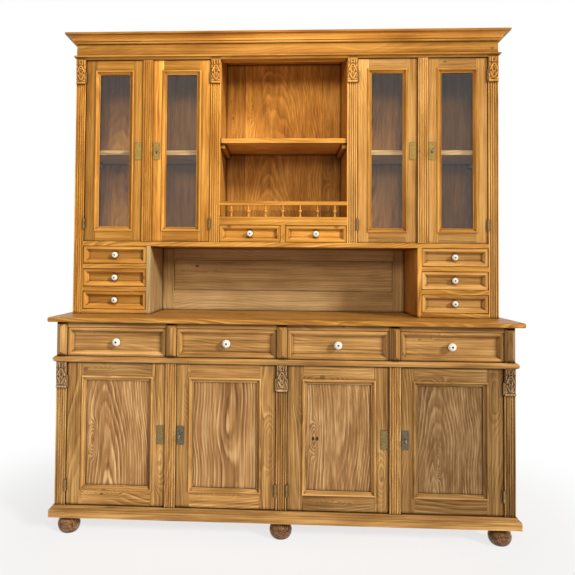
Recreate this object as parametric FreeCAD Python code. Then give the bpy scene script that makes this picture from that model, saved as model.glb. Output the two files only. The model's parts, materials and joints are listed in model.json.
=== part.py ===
import FreeCAD, Part
import math
import os

# A two-stage kitchen cupboard in waxed pine: a base with doors and drawers under a worktop, and a
# hutch with glazed doors, small drawers, an open bay with a gallery, and a niche over the worktop.
# Millimetres. +X is the viewer's right, the front faces -Y, +Z is up. The origin is on the floor
# under the middle of the bounding box.

V = FreeCAD.Vector
RIGHT, BACK, UP = V(1, 0, 0), V(0, 1, 0), V(0, 0, 1)
FRONT = -BACK

# Plan sizes
base_width = 1860.0
base_depth = 478.0
hutch_inset = 4.0
hutch_setback = 176.0
centre_width = 558.0
niche_width = 1164.0

# Heights, from the floor upwards
foot_height = 82.0
plinth_height = 46.0
base_bay_height = 586.0
string_height = 22.0
drawer_bay_height = 120.0
top_rail_height = 22.0
worktop_thickness = 20.0
niche_height = 300.0
hutch_bay_height = 810.0
frieze_height = 70.0
crown_height = 42.0

# Boards
board = 20.0
back_board = 12.0
tower_wall = 18.0
batten = 20.0
base_back_count = 6
hutch_back_count = 5

# Fluted posts and meeting strips
post_width = 43.0
hutch_post_width = 42.0
post_depth = 30.0
flute_count = 4
flute_pitch = 9.5
flute_width = 7.0
flute_depth = 3.5
strip_thickness = 9.0
capital_height = 108.0
capital_reach = 15.0
capital_shares = ((0, 0), (0.55, 0), (0.75, 0.04, 0.55, 0.08), (0.35, 0.1), (0.95, 0.35, 0.8, 0.6),
                  (0.62, 0.74, 1.0, 0.94), (1.0, 1.0), (0, 1.0))

# Mouldings: how far each stands proud, and its outline in shares of that and of its height
worktop_overhang = 33.0
worktop_side_overhang = 30.0
worktop_round = 6.0
plinth_projection = 19.0
plinth_shares = ((1.0, 0), (1.0, 0.62), (0.9, 0.68), (0.45, 0.72, 0.3, 0.94), (0.3, 1.0))
string_projection = 13.0
string_shares = ((0, 0), (0.5, 0), (1.0, 0.5, 0.5, 1.0), (0, 1.0))
neck_projection = 11.0
neck_height = 22.0
neck_shares = ((0, 0), (0.12, 0), (0.2, 0.4, 0.78, 0.52), (1.0, 0.55), (1.0, 0.78), (0, 1.0))
crown_projection = 42.0
crown_shares = ((0.05, 0), (0.22, 0.06, 0.24, 0.24), (0.32, 0.24), (0.46, 0.58, 0.88, 0.78),
                (1.0, 0.8), (1.0, 1.0))

# Drawers
base_drawer_count = 4
tower_drawer_count = 3
drawer_recess = 3.0
drawer_front = 20.0
drawer_side = 12.0
drawer_bottom = 7.0
drawer_bottom_rise = 9.0
drawer_side_drop = 10.0
drawer_side_inset = 5.0
drawer_tail_room = 25.0
drawer_travel_share = 0.7
frame_width = 22.0
frame_proud = 15.0
frame_shares = ((0, 0), (1.0, 0), (1.0, 0.08), (0.78, 0.5, 0.62, 0.87), (0.57, 0.87), (0.55, 1.0), (0, 1.0))
tower_divider = 20.0
centre_stile = 20.0
gallery_base = 36.0
centre_drawer_bay = 76.0

# Hipped blocks on the drawer stiles
block_ridge = 30.0
block_margin = 3.0
block_hip = 20.0

# Porcelain knobs
knob_diameter = 34.0
knob_length = 32.0
small_knob_diameter = 27.0
small_knob_length = 25.0
knob_spigot = 6.0
knob_shares = ((0.5, 0), (0.5, 0.08), (0.35, 0.18, 0.44, 0.28), (1.0, 0.61, 0.27, 1.0), (0, 1.0))

# Turned bun feet
foot_diameter = 92.0
foot_inset = 45.0
foot_setback = 56.0
foot_block = 84.0
foot_shares = ((0, 0), (0.6, 0), (1.0, 0.42, 0.64, 0.8), (0.58, 0.85, 0.72, 0.9), (0.72, 1.0), (0, 1.0))

# Gallery
gallery_rail_height = 16.0
gallery_rail_depth = 18.0
baluster_height = 52.0
baluster_diameter = 13.0
baluster_count = 7
baluster_pitch = 75.5
baluster_shares = ((0, 0), (0.8, 0), (0.8, 0.08), (0.42, 0.22, 0.6, 0.36), (1.0, 0.5, 0.6, 0.64),
                   (0.42, 0.78, 0.8, 0.92), (0.8, 1.0), (0, 1.0))

# Shelves
base_shelf_height = 290.0
side_shelf_height = 392.0
centre_shelf_height = 439.0
base_shelf_setback = 62.0
side_shelf_setback = 45.0
centre_shelf_setback = 10.0
soffit_depth = 20.0

# Niche back: a framed panel
niche_stile = 56.0
niche_top_rail = 57.0
niche_bottom_board = 96.0
niche_panel = 8.0

# Doors
door_recess = 5.0
base_door = {"thickness": 22.0, "hinge_stile": 65.0, "meeting_stile": 58.0, "top_rail": 62.0,
             "bottom_rail": 66.0, "mould_width": 19.5, "mould_proud": 5.0}
hutch_door = {"thickness": 20.0, "hinge_stile": 48.0, "meeting_stile": 48.0, "top_rail": 50.0,
              "bottom_rail": 50.0, "mould_width": 20.0, "mould_proud": 4.0}
panel_thickness = 9.0
panel_tongue = 8.0
glass_thickness = 3.0
infill_sink = 10.0
mould_lap = 7.0
mould_shares = ((1.0, 0.12), (0.98, 0.29, 0.86, 0.34), (0.82, 0.28), (0.6, 0.49, 0.44, 0.84),
                (0.3, 1.0, 0.14, 0.94), (0, 0.78))

# Hinges
hinge_inset = 78.0
hinge_length = 48.0
hinge_radius = 4.5
hinge_pin_radius = 2.0
hinge_leaf = 1.2
hinge_leaf_depth = 20.0

# Locks, plates and keys
plate_width = 28.0
plate_height = 75.0
plate_thickness = 1.6
plate_margin = 5.0
plate_round = 3.0
base_lock_height = 292.0
hutch_lock_height = 401.0
lock_width = 36.0
lock_height = 62.0
lock_thickness = 14.0
lock_wall = 2.0
lock_chamber_radius = 10.0
keyhole_radius = 3.4
bolt_height = 12.0
bolt_thickness = 6.0
bolt_tail = 14.0
bolt_throw = 9.0
key_radius = 2.6
key_bit = 6.0
key_bit_radius = 9.3
key_bit_thickness = 3.0
key_stand_off = 10.0
bow_radius = 11.0
bow_hole_radius = 6.5
bow_thickness = 4.0

# Clearances
run_gap = 2.0
hinge_gap = 2.6
seat_gap = 0.3
groove_gap = 0.3
pin_gap = 0.06
spigot_gap = 0.15
notch_gap = 0.6
bolt_gap = 0.4
overrun = 5.0

# Levels
z_floor0 = foot_height
z_floor = z_floor0 + plinth_height
z_string = z_floor + base_bay_height
z_drawers = z_string + string_height
z_top_rail = z_drawers + drawer_bay_height
z_worktop0 = z_top_rail + top_rail_height
z_worktop = z_worktop0 + worktop_thickness
z_niche = z_worktop + niche_height
z_hutch = z_niche + board
z_frieze = z_hutch + hutch_bay_height
z_crown = z_frieze + frieze_height
z_centre = z_hutch + centre_drawer_bay + gallery_base

# Planes from front to back: the base's posts, the hutch's posts, and the back boards
drawer_sink = drawer_recess + frame_proud
front_reach = max(worktop_overhang, block_ridge, knob_length - drawer_sink)
total_depth = front_reach + base_depth + back_board
y_base = front_reach - total_depth / 2
y_hutch = y_base + hutch_setback
y_back = y_base + base_depth
y_rear = y_back + back_board
y_base_door = y_base + door_recess
y_hutch_door = y_hutch + door_recess
y_carcass = y_base + post_depth
y_hutch_carcass = y_hutch + post_depth

# Columns, as half widths
base_half = base_width / 2
base_inner = base_half - board
hutch_half = base_half - hutch_inset
hutch_inner = hutch_half - board
hutch_bay_outer = hutch_half - hutch_post_width
centre_half = centre_width / 2
hutch_bay_inner = centre_half + hutch_post_width
partition_half = centre_half + board
niche_half = niche_width / 2
tower_half = niche_half + tower_wall
drawer_module = (base_width - (base_drawer_count + 1) * post_width) / base_drawer_count
stile_lines = [(i - base_drawer_count / 2) * (drawer_module + post_width) for i in range(base_drawer_count + 1)]

nodes = {}
bodies = {"carcass": []}
joints = []
couplings = []
openings = []
hinge_notches = []


def add(node, solids, body="carcass"):
    """Keeps the solids of one node and the body that it moves with."""
    nodes.setdefault(node, []).extend(solids)
    if node not in bodies.setdefault(body, []):
        bodies[body].append(node)


def box(x0, x1, y0, y1, z0, z1):
    return Part.makeBox(x1 - x0, y1 - y0, z1 - z0, V(x0, y0, z0))


def pair(x0, x1, y0, y1, z0, z1):
    """A board on the right and its twin on the left."""
    return [box(x0, x1, y0, y1, z0, z1), box(-x1, -x0, y0, y1, z0, z1)]


def slab(points, z0, z1):
    """A flat board with the given outline in plan."""
    corners = [V(x, y, z0) for x, y in points]
    return Part.Face(Part.makePolygon(corners + corners[:1])).extrude(UP * (z1 - z0))


def space(name, holds, x0, x1, y0, y1, z0, z1):
    openings.append((name, holds, (x0, y0, z0), (x1, y1, z1)))


def scaled(shares, across, up):
    return [tuple(s * (up if i % 2 else across) for i, s in enumerate(step)) for step in shares]


def outline(steps):
    """A face in the y-z plane: two values are a straight step, four an arc through a point."""
    edges = []
    here = V(0, *steps[0])
    for step in steps[1:] + steps[:1]:
        end = V(0, *step[-2:])
        if len(step) > 2:
            edges.append(Part.Arc(here, V(0, *step[:2]), end).toShape())
        else:
            edges.append(Part.makeLine(here, end))
        here = end
    return Part.Face(Part.Wire(edges))


def turned(steps):
    return outline(steps).revolve(V(), UP, 360)


def place(shape, origin, along, across, up):
    moved = shape.copy()
    moved.Placement = FreeCAD.Placement(origin, FreeCAD.Rotation(along, across, up, "XYZ"))
    return moved


def moulding_run(face, length, flare_start, flare_end):
    """A stick along X with the face's section, mitred outwards (1), inwards (-1) or cut square (0)."""
    size = face.BoundBox
    low, high = size.YMin - overrun, size.YMax + overrun
    reach = max(abs(low), abs(high)) + overrun
    stick = face.extrude(RIGHT * (length + 2 * reach)).translated(RIGHT * -reach)
    plan = ((-flare_start * low, low), (length + flare_end * low, low),
            (length + flare_end * high, high), (-flare_start * high, high))
    return stick.common(slab(plan, size.ZMin - overrun, size.ZMax + overrun)).Solids[0]


def picture_frame(face, x0, x1, y, z0, z1):
    """Four mitred sticks round an upright rectangle, with the section measured inwards and forwards."""
    wide, tall = x1 - x0, z1 - z0
    sides = ((V(x0, y, z0), RIGHT, UP, wide), (V(x1, y, z0), UP, -RIGHT, tall),
             (V(x1, y, z1), -RIGHT, -UP, wide), (V(x0, y, z1), -UP, RIGHT, tall))
    return [place(moulding_run(face, length, -1, -1), corner, along, inwards, FRONT)
            for corner, along, inwards, length in sides]


def wrapped_moulding(face, half, y_face, y_end, z):
    """A moulding along both sides and the front, mitred at the front corners."""
    deep = y_end - y_face
    runs = ((V(half, y_end, z), FRONT, RIGHT, deep, 0, 1), (V(half, y_face, z), -RIGHT, FRONT, 2 * half, 1, 1),
            (V(-half, y_face, z), BACK, -RIGHT, deep, 1, 0))
    return [place(moulding_run(face, length, start, end), corner, along, out, UP)
            for corner, along, out, length, start, end in runs]


def fluted(x0, x1, y0, y1, z0, z1):
    """An upright board with hollow flutes down its front face."""
    half = flute_width / 2
    radius = (half ** 2 + flute_depth ** 2) / (2 * flute_depth)
    solid = box(x0, x1, y0, y1, z0, z1)
    for i in range(flute_count):
        x = (x0 + x1) / 2 + (i - (flute_count - 1) / 2) * flute_pitch
        solid = solid.cut(Part.makeCylinder(radius, z1 - z0, V(x, y0 + flute_depth - radius, z0), UP))
    return solid


def notched(solid):
    """The solid with room for the hinge knuckles beside it."""
    for notch in hinge_notches:
        if notch.BoundBox.intersect(solid.BoundBox):
            solid = solid.cut(notch)
    return solid.Solids[0]


def post(node, x0, x1, y, z0, z1):
    """A fluted post with its carved capital, simplified to a leaning leaf over a bead."""
    capital = outline(scaled(capital_shares, capital_reach, capital_height)).extrude(RIGHT * (x1 - x0))
    capital = place(capital, V(x1, y, z1 - capital_height), -RIGHT, FRONT, UP)
    add(node, [notched(fluted(x0, x1, y, y + post_depth, z0, z1)), notched(capital)])


def shelf(node, x0, x1, y0, z):
    """A loose shelf that lies on a batten at each end."""
    add(node, [box(x0, x1, y0, y_back, z, z + board),
               box(x0, x0 + batten, y0 + batten, y_back, z - batten, z),
               box(x1 - batten, x1, y0 + batten, y_back, z - batten, z)])


def knob(node, body, x, y, z, diameter, length):
    """A turned knob whose spigot goes through the drawer front."""
    half = knob_spigot / 2
    steps = [(0, -drawer_front), (half, -drawer_front), (half, 0)]
    steps += scaled(knob_shares, diameter / 2, length)
    add(node, [place(turned(steps), V(x, y, z), RIGHT, UP, FRONT)], body)


def drawer(name, x0, x1, z0, z1, y, knob_size):
    """A drawer in the bay x0..x1, z0..z1: a framed front, a box behind it and a knob."""
    left, right, low, high = x0 + run_gap, x1 - run_gap, z0 + run_gap, z1 - run_gap
    middle, level = (left + right) / 2, (low + high) / 2
    y_box, y_tail = y + drawer_front, y_back - drawer_tail_room
    bore = Part.makeCylinder(knob_spigot / 2 + spigot_gap, drawer_front, V(middle, y, level), BACK)
    front = box(left, right, y, y_box, low, high).cut(bore)
    in0, in1 = left + drawer_side_inset, right - drawer_side_inset
    z_side, z_top = z0 + seat_gap, high - drawer_side_drop
    z_bed = z_side + drawer_bottom_rise
    solids = [front, box(in0, in0 + drawer_side, y_box, y_tail, z_side, z_top),
              box(in1 - drawer_side, in1, y_box, y_tail, z_side, z_top)]
    in0, in1 = in0 + drawer_side, in1 - drawer_side
    z_fill = z_bed + drawer_bottom
    solids.append(box(in0, in1, y_tail - drawer_side, y_tail, z_fill, z_top))
    solids.append(box(in0, in1, y_box, y_tail, z_bed, z_fill))
    frame_face = outline(scaled(frame_shares, frame_width, frame_proud))
    solids += picture_frame(frame_face, left, right, y, low, high)
    add(name, solids, name)
    knob(name + "_knob", name, middle, y, level, *knob_size)
    joints.append({"name": name + "_slide", "type": "slide", "parent": "carcass", "child": name,
                   "travel": (y_tail - y) * drawer_travel_share})
    space(name + "_inside", "what is kept in the drawer", in0 + run_gap, in1 - run_gap,
          y_box + run_gap, y_tail - drawer_side - run_gap, z_fill + run_gap, z_top)


def hinge(body, node, x, y, z, side):
    """A lift-off hinge: the fixed half has the pin, and the door's half turns on it."""
    half = hinge_length / 2
    fixed = Part.makeCylinder(hinge_radius, half, V(x, y, z - half), UP)
    pin = Part.makeCylinder(hinge_pin_radius, hinge_length - overrun, V(x, y, z - half), UP)
    fixed_leaf = sorted((x - side * hinge_gap / 2, x - side * (hinge_gap / 2 - hinge_leaf)))
    fixed = fixed.fuse([pin, box(*fixed_leaf, y, y + hinge_leaf_depth, z - half, z)])
    socket = Part.makeCylinder(hinge_pin_radius + pin_gap, half, V(x, y, z + seat_gap), UP)
    moving = Part.makeCylinder(hinge_radius, half - seat_gap, V(x, y, z + seat_gap), UP)
    moving_leaf = sorted((x + side * hinge_gap / 2, x + side * (hinge_gap / 2 - hinge_leaf)))
    moving = moving.fuse(box(*moving_leaf, y, y + hinge_leaf_depth, z + seat_gap, z + half)).cut(socket)
    add("hinge_pins", [fixed.removeSplitter().Solids[0]])
    add(node, [moving.removeSplitter().Solids[0]], body)
    hinge_notches.append(Part.makeCylinder(hinge_radius + notch_gap, hinge_length + 2 * notch_gap,
                                           V(x, y, z - half - notch_gap), UP))


def key_plate(x, y, z, hole):
    """A thin plate with rounded corners, pierced for the key where there is one."""
    solid = box(x - plate_width / 2, x + plate_width / 2, y - plate_thickness, y,
                z - plate_height / 2, z + plate_height / 2)
    solid = solid.makeFillet(plate_round, [e for e in solid.Edges if e.BoundBox.YLength > plate_thickness / 2])
    return solid.cut(hole) if hole else solid


def lock(name, body, x, y, z, x_edge, stile):
    """A let-in lock with plate, bolt and key; returns the stile cut to take it, and the bolt's box."""
    half_w, half_h = lock_width / 2, lock_height / 2
    y_case, y_open = y + leaf_thickness(name) - lock_thickness, y + leaf_thickness(name)
    keyhole = Part.makeCylinder(keyhole_radius, y_open - y + plate_thickness - lock_wall,
                                V(x, y - plate_thickness, z), BACK)
    chamber = Part.makeCylinder(lock_chamber_radius, lock_thickness - lock_wall, V(x, y_case, z), BACK)
    y_bolt = y_case + (lock_thickness - bolt_thickness) / 2
    z_bolt = z + lock_chamber_radius + lock_wall + bolt_gap
    bolt = (x_edge + bolt_gap, x + bolt_tail, y_bolt, y_bolt + bolt_thickness, z_bolt, z_bolt + bolt_height)
    channel = box(x_edge - overrun, bolt[1] + bolt_gap, bolt[2] - bolt_gap, bolt[3] + bolt_gap,
                  bolt[4] - bolt_gap, bolt[5] + bolt_gap)
    case = box(x - half_w, x + half_w, y_case, y_open, z - half_h, z + half_h)
    add(name + "_lock", [case.cut([chamber, channel]).Solids[0], key_plate(x, y, z, keyhole)], body)
    add(name + "_bolt", [box(*bolt)], name + "_bolt")
    y_bow = y - plate_thickness - key_stand_off - bow_radius
    y_tip = y_case + lock_thickness - lock_wall - run_gap
    shank = Part.makeCylinder(key_radius, y_tip - y_bow - bow_hole_radius, V(x, y_bow + bow_hole_radius, z), BACK)
    bow = Part.makeCylinder(bow_radius, bow_thickness, V(x - bow_thickness / 2, y_bow, z), RIGHT)
    eye = Part.makeCylinder(bow_hole_radius, bow_thickness, V(x - bow_thickness / 2, y_bow, z), RIGHT)
    bit = box(x - key_bit_thickness / 2, x + key_bit_thickness / 2, y_tip - key_bit, y_tip, z, z + key_bit_radius)
    add(name + "_key", [shank.fuse([bow, bit]).cut(eye).removeSplitter().Solids[0]], name + "_key")
    joints.append({"name": name + "_key_turn", "type": "hinge", "parent": body, "child": name + "_key",
                   "pos": (x, y, z), "axis": (0, -1, 0), "range": (0, 180)})
    joints.append({"name": name + "_bolt_slide", "type": "slide", "parent": body, "child": name + "_bolt",
                   "axis": (-1, 0, 0), "travel": bolt_throw})
    couplings.append({"joint": name + "_key_turn", "follows": name + "_bolt_slide",
                      "ratio": math.pi / bolt_throw})
    return stile.cut([case, channel, keyhole]).Solids[0], bolt


def leaf_thickness(name):
    return (base_door if name.startswith("base") else hutch_door)["thickness"]


def door_leaf(name, sizes, x0, x1, z0, z1, y, left_stile, right_stile):
    """Stiles, rails and the infill let into their grooves; returns the stiles, to be cut further."""
    y_end = y + sizes["thickness"]
    xl, xr = x0 + left_stile, x1 - right_stile
    zb, zt = z0 + sizes["bottom_rail"], z1 - sizes["top_rail"]
    glazed = sizes is hutch_door
    fill = glass_thickness if glazed else panel_thickness
    y_fill = y + infill_sink
    reach = panel_tongue + groove_gap
    groove = box(xl - reach, xr + reach, y_fill - groove_gap, y_fill + fill + groove_gap, zb - reach, zt + reach)
    infill = box(xl - panel_tongue, xr + panel_tongue, y_fill, y_fill + fill, zb - panel_tongue, zt + panel_tongue)
    stiles = [box(x0, xl, y, y_end, z0, z1).cut(groove), box(xr, x1, y, y_end, z0, z1).cut(groove)]
    rails = [box(xl, xr, y, y_end, z0, zb).cut(groove), box(xl, xr, y, y_end, zt, z1).cut(groove)]
    wide, proud = sizes["mould_width"], sizes["mould_proud"]
    section = outline([(0, infill_sink), (mould_lap, infill_sink), (mould_lap, 0), (wide, 0)]
                      + scaled(mould_shares, wide, infill_sink + proud))
    mould = picture_frame(section, xl - mould_lap, xr + mould_lap, y_fill, zb - mould_lap, zt + mould_lap)
    add(name, rails + mould, name)
    if glazed:
        add(name + "_glass", [infill], name)
    else:
        add(name, [infill], name)
    return stiles


def hang(name, x, y, z0, z1, side, limit):
    """Two hinges at x, with the door on that side of them, and the joint that they make."""
    y_axis = y - hinge_radius - seat_gap
    for z in (z0 + hinge_inset, z1 - hinge_inset):
        hinge(name, name, x, y_axis, z, side)
    joints.append({"name": name + "_swing", "type": "hinge", "parent": "carcass", "child": name,
                   "pos": (x, y_axis, (z0 + z1) / 2), "axis": (0, 0, -side), "range": (0, limit)})


def door_pair(names, sizes, x0, x1, z0, z1, y, strip, lock_z, limits):
    """A plain leaf hung on the left and a keyed leaf with the meeting strip hung on the right."""
    plain, keyed = names
    low, high = z0 + run_gap, z1 - run_gap
    x_meet = x0 + (x1 - x0 - strip) / 2
    plain_end, keyed_start = x_meet - run_gap / 2, x_meet + run_gap / 2
    stiles = door_leaf(plain, sizes, x0 + hinge_gap, plain_end, low, high, y,
                       sizes["hinge_stile"], sizes["meeting_stile"])
    keyed_stiles = door_leaf(keyed, sizes, keyed_start, x1 - hinge_gap, low, high, y,
                             sizes["meeting_stile"] + strip, sizes["hinge_stile"])
    x_plate = plate_margin + plate_width / 2
    x_lock = keyed_start + strip + x_plate
    keyed_stiles[0], bolt = lock(keyed, keyed, x_lock, y, lock_z, keyed_start, keyed_stiles[0])
    depth = bolt_throw + 2 * bolt_gap
    socket = (plain_end - depth, plain_end + overrun, bolt[2] - bolt_gap, bolt[3] + bolt_gap,
              bolt[4] - bolt_gap, bolt[5] + bolt_gap)
    stiles[1] = stiles[1].cut(box(*socket)).Solids[0]
    space(plain + "_bolt_socket", "the lock's bolt", plain_end - depth + bolt_gap, plain_end, *socket[2:])
    add(plain, stiles + [key_plate(plain_end - x_plate, y, lock_z, None)], plain)
    add(keyed, keyed_stiles + [fluted(keyed_start, keyed_start + strip, y - strip_thickness, y, low, high)], keyed)
    hang(plain, x0 + hinge_gap / 2, y, low, high, 1, limits[0])
    hang(keyed, x1 - hinge_gap / 2, y, low, high, -1, limits[1])


# Doors, which also say where the posts are notched for their hinges
base_lock_z = z_floor + base_lock_height
hutch_lock_z = z_hutch + hutch_lock_height
swing_wide, swing_square = 110, 90
post_half = post_width / 2
base_bays = ((-base_half + post_width, -post_half), (post_half, base_half - post_width))
hutch_bays = ((-hutch_bay_outer, -hutch_bay_inner), (hutch_bay_inner, hutch_bay_outer))
for side in range(2):
    pair_names = [str(2 * side + 1), str(2 * side + 2)]
    limits = (swing_square, swing_wide) if side else (swing_wide, swing_square)
    door_pair(["base_door_" + n for n in pair_names], base_door, *base_bays[side], z_floor, z_string,
              y_base_door, post_width, base_lock_z, limits)
    door_pair(["hutch_door_" + n for n in pair_names], hutch_door, *hutch_bays[side], z_hutch, z_frieze,
              y_hutch_door, hutch_post_width, hutch_lock_z, limits)

# Feet and plinth
foot = turned(scaled(foot_shares, foot_diameter / 2, foot_height))
foot_x = base_half - foot_inset
foot_places = [(x, y) for y in (y_base + foot_setback, y_back - foot_setback) for x in (-foot_x, 0, foot_x)]
add("bun_feet", [foot.translated(V(x, y, 0)) for x, y in foot_places])
plinth_face = outline([(-board, 0)] + scaled(plinth_shares, plinth_projection, plinth_height)
                      + [(-board, plinth_height)])
add("plinth", wrapped_moulding(plinth_face, base_half, y_base, y_back, z_floor0))

# Base carcass
block = foot_block / 2
z_dust = z_drawers - board
for x, y in foot_places:
    add("base_carcass", [box(max(x - block, -base_inner), min(x + block, base_inner),
                             max(y - block, y_base + board), min(y + block, y_back), z_floor0, z_floor - board)])
add("base_carcass", [box(-base_inner, base_inner, y_base + board, y_back, z_floor - board, z_floor)])
add("base_carcass", pair(base_inner, base_half, y_carcass, y_back, z_floor, z_worktop0))
add("base_carcass", [box(-board / 2, board / 2, y_carcass, y_back, z_floor, z_dust),
                     box(-base_half, base_half, y_base, y_carcass, z_string, z_drawers),
                     box(-base_inner, base_inner, y_carcass, y_back, z_dust, z_drawers)])
for x in stile_lines:
    add("base_carcass", [box(x - post_half, x + post_half, y_base, y_carcass, z_drawers, z_worktop0)])
for x in stile_lines[1:-1]:
    add("base_carcass", [box(x - board / 2, x + board / 2, y_carcass, y_back, z_drawers, z_worktop0)])
for x in stile_lines[:-1]:
    add("base_carcass", [box(x + post_half, x + post_half + drawer_module, y_base, y_base + board,
                             z_top_rail, z_worktop0)])
for x0, x1 in ((-base_inner, -board / 2), (board / 2, base_inner)):
    shelf("base_carcass", x0, x1, y_base + base_shelf_setback, z_floor + base_shelf_height)

# String course and the hipped blocks over it
string_face = outline(scaled(string_shares, string_projection, string_height))
add("string_course", wrapped_moulding(string_face, base_half, y_base, y_back, z_string))
for x in stile_lines:
    x0, x1 = x - post_half, x + post_half
    z0, z1 = z_drawers + block_margin, z_worktop0 - block_margin
    y_ridge = y_base - block_ridge
    foot_corners = [V(x0, y_base, z0), V(x1, y_base, z0), V(x1, y_base, z1), V(x0, y_base, z1)]
    low_end, high_end = V(x, y_ridge, z0 + block_hip), V(x, y_ridge, z1 - block_hip)
    a, b, c, d = foot_corners
    facets = ((a, b, c, d), (a, b, low_end), (b, c, high_end, low_end), (c, d, high_end), (d, a, low_end, high_end))
    shell = Part.makeShell([Part.Face(Part.makePolygon(list(f) + [f[0]])) for f in facets])
    hip_block = Part.makeSolid(shell)
    add("string_course", [hip_block if hip_block.Volume > 0 else hip_block.reversed()])

# Base posts
for x in (stile_lines[0], 0, stile_lines[-1]):
    post("base_pilasters", x - post_half, x + post_half, y_base, z_floor, z_string)

# Worktop with eased edges at the front and the ends
top_half = base_half + worktop_side_overhang
top = box(-top_half, top_half, y_base - worktop_overhang, y_rear, z_worktop0, z_worktop)
eased = [e for e in top.Edges if e.BoundBox.ZLength < worktop_round and e.CenterOfMass.y < (y_back + y_rear) / 2]
add("worktop", [top.makeFillet(worktop_round, eased)])

# Hutch carcass
add("hutch_carcass", pair(hutch_inner, hutch_half, y_hutch_carcass, y_back, z_worktop, z_crown))
add("hutch_carcass", pair(centre_half, partition_half, y_hutch_carcass, y_back, z_hutch, z_crown))
add("hutch_carcass", pair(niche_half, tower_half, y_hutch, y_back, z_worktop, z_niche))
add("hutch_carcass", [slab(((-hutch_bay_outer, y_hutch), (hutch_bay_outer, y_hutch),
                            (hutch_bay_outer, y_hutch_carcass), (hutch_inner, y_hutch_carcass),
                            (hutch_inner, y_back), (-hutch_inner, y_back),
                            (-hutch_inner, y_hutch_carcass), (-hutch_bay_outer, y_hutch_carcass)),
                           z_niche, z_hutch),
                      box(-hutch_inner, hutch_inner, y_hutch + board, y_rear, z_crown, z_crown + board),
                      box(-centre_half, centre_half, y_hutch_carcass, y_hutch_carcass + soffit_depth,
                          z_frieze, z_frieze + board)])
tower_bay = niche_height / tower_drawer_count - tower_divider
tower_levels = [z_worktop + i * (tower_bay + tower_divider) for i in range(tower_drawer_count)]
for z in tower_levels:
    plan = ((tower_half, y_hutch), (hutch_bay_outer, y_hutch), (hutch_bay_outer, y_hutch_carcass),
            (hutch_inner, y_hutch_carcass), (hutch_inner, y_back), (tower_half, y_back))
    for side in (-1, 1):
        add("hutch_carcass", [slab([(side * x, y) for x, y in plan], z, z + tower_divider)])
y_centre = y_hutch + board
z_gallery_base = z_centre - gallery_base
add("hutch_carcass", [box(-centre_half, centre_half, y_hutch, y_centre, z_gallery_base, z_centre),
                      box(-centre_half, centre_half, y_centre, y_back, z_centre - board, z_centre),
                      box(-centre_stile / 2, centre_stile / 2, y_hutch, y_back, z_hutch, z_gallery_base)])
shelf("hutch_carcass", -centre_half, centre_half, y_hutch + centre_shelf_setback, z_hutch + centre_shelf_height)
for x0, x1 in ((-hutch_inner, -partition_half), (partition_half, hutch_inner)):
    shelf("hutch_carcass", x0, x1, y_hutch + side_shelf_setback, z_hutch + side_shelf_height)

# Hutch posts: the outer ones run down to the worktop
for side in (-1, 1):
    outer = sorted((side * hutch_bay_outer, side * hutch_half))
    inner = sorted((side * centre_half, side * hutch_bay_inner))
    post("hutch_pilasters", *outer, y_hutch, z_worktop, z_frieze)
    post("hutch_pilasters", *inner, y_hutch, z_hutch, z_frieze)

# Gallery in front of the open bay
y_gallery = y_hutch + gallery_rail_depth / 2
baluster = turned(scaled(baluster_shares, baluster_diameter / 2, baluster_height))
for i in range(baluster_count):
    x = (i - (baluster_count - 1) / 2) * baluster_pitch
    add("gallery", [baluster.translated(V(x, y_gallery, z_centre))])
z_rail = z_centre + baluster_height
add("gallery", [box(-centre_half, centre_half, y_hutch, y_hutch + gallery_rail_depth,
                    z_rail, z_rail + gallery_rail_height)])

# Back boards, and the framed panel at the back of the niche
for half, count, z0, z1 in ((base_half, base_back_count, z_floor0, z_worktop0),
                            (hutch_half, hutch_back_count, z_worktop, z_crown)):
    wide = 2 * half / count
    add("back_panels", [box(-half + i * wide, -half + (i + 1) * wide, y_back, y_rear, z0, z1)
                        for i in range(count)])
y_niche = y_back - back_board
z_panel0, z_panel1 = z_worktop + niche_bottom_board, z_niche - niche_top_rail
x_panel = niche_half - niche_stile
add("back_panels", pair(x_panel, niche_half, y_niche, y_back, z_worktop, z_niche))
add("back_panels", [box(-x_panel, x_panel, y_niche, y_back, z_worktop, z_panel0),
                    box(-x_panel, x_panel, y_niche, y_back, z_panel1, z_niche),
                    box(-x_panel, x_panel, y_back - niche_panel, y_back, z_panel0, z_panel1)])

# Cornice: frieze, necking and crown
crown_face = outline([(-board, 0)] + scaled(crown_shares, crown_projection, crown_height)
                     + [(-board, crown_height)])
neck_face = outline(scaled(neck_shares, neck_projection, neck_height))
add("cornice", [box(-hutch_half, hutch_half, y_hutch, y_hutch_carcass, z_frieze, z_crown)])
add("cornice", wrapped_moulding(neck_face, hutch_half, y_hutch, y_rear, z_frieze))
add("cornice", wrapped_moulding(crown_face, hutch_half, y_hutch, y_rear, z_crown))

# Drawers
large_knob, small_knob = (knob_diameter, knob_length), (small_knob_diameter, small_knob_length)
for i, x in enumerate(stile_lines[:-1]):
    drawer("base_drawer_%d" % (i + 1), x + post_half, x + post_half + drawer_module,
           z_drawers, z_top_rail, y_base + drawer_sink, large_knob)
for label, side in (("left", -1), ("right", 1)):
    bay = sorted((side * tower_half, side * hutch_bay_outer))
    for i, z in enumerate(reversed(tower_levels)):
        drawer("%s_drawer_%d" % (label, i + 1), *bay, z + tower_divider, z + tower_divider + tower_bay,
               y_hutch + drawer_sink, small_knob)
    bay = sorted((side * centre_stile / 2, side * centre_half))
    drawer("centre_drawer_" + label, *bay, z_hutch, z_gallery_base, y_hutch + drawer_sink, small_knob)

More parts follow.
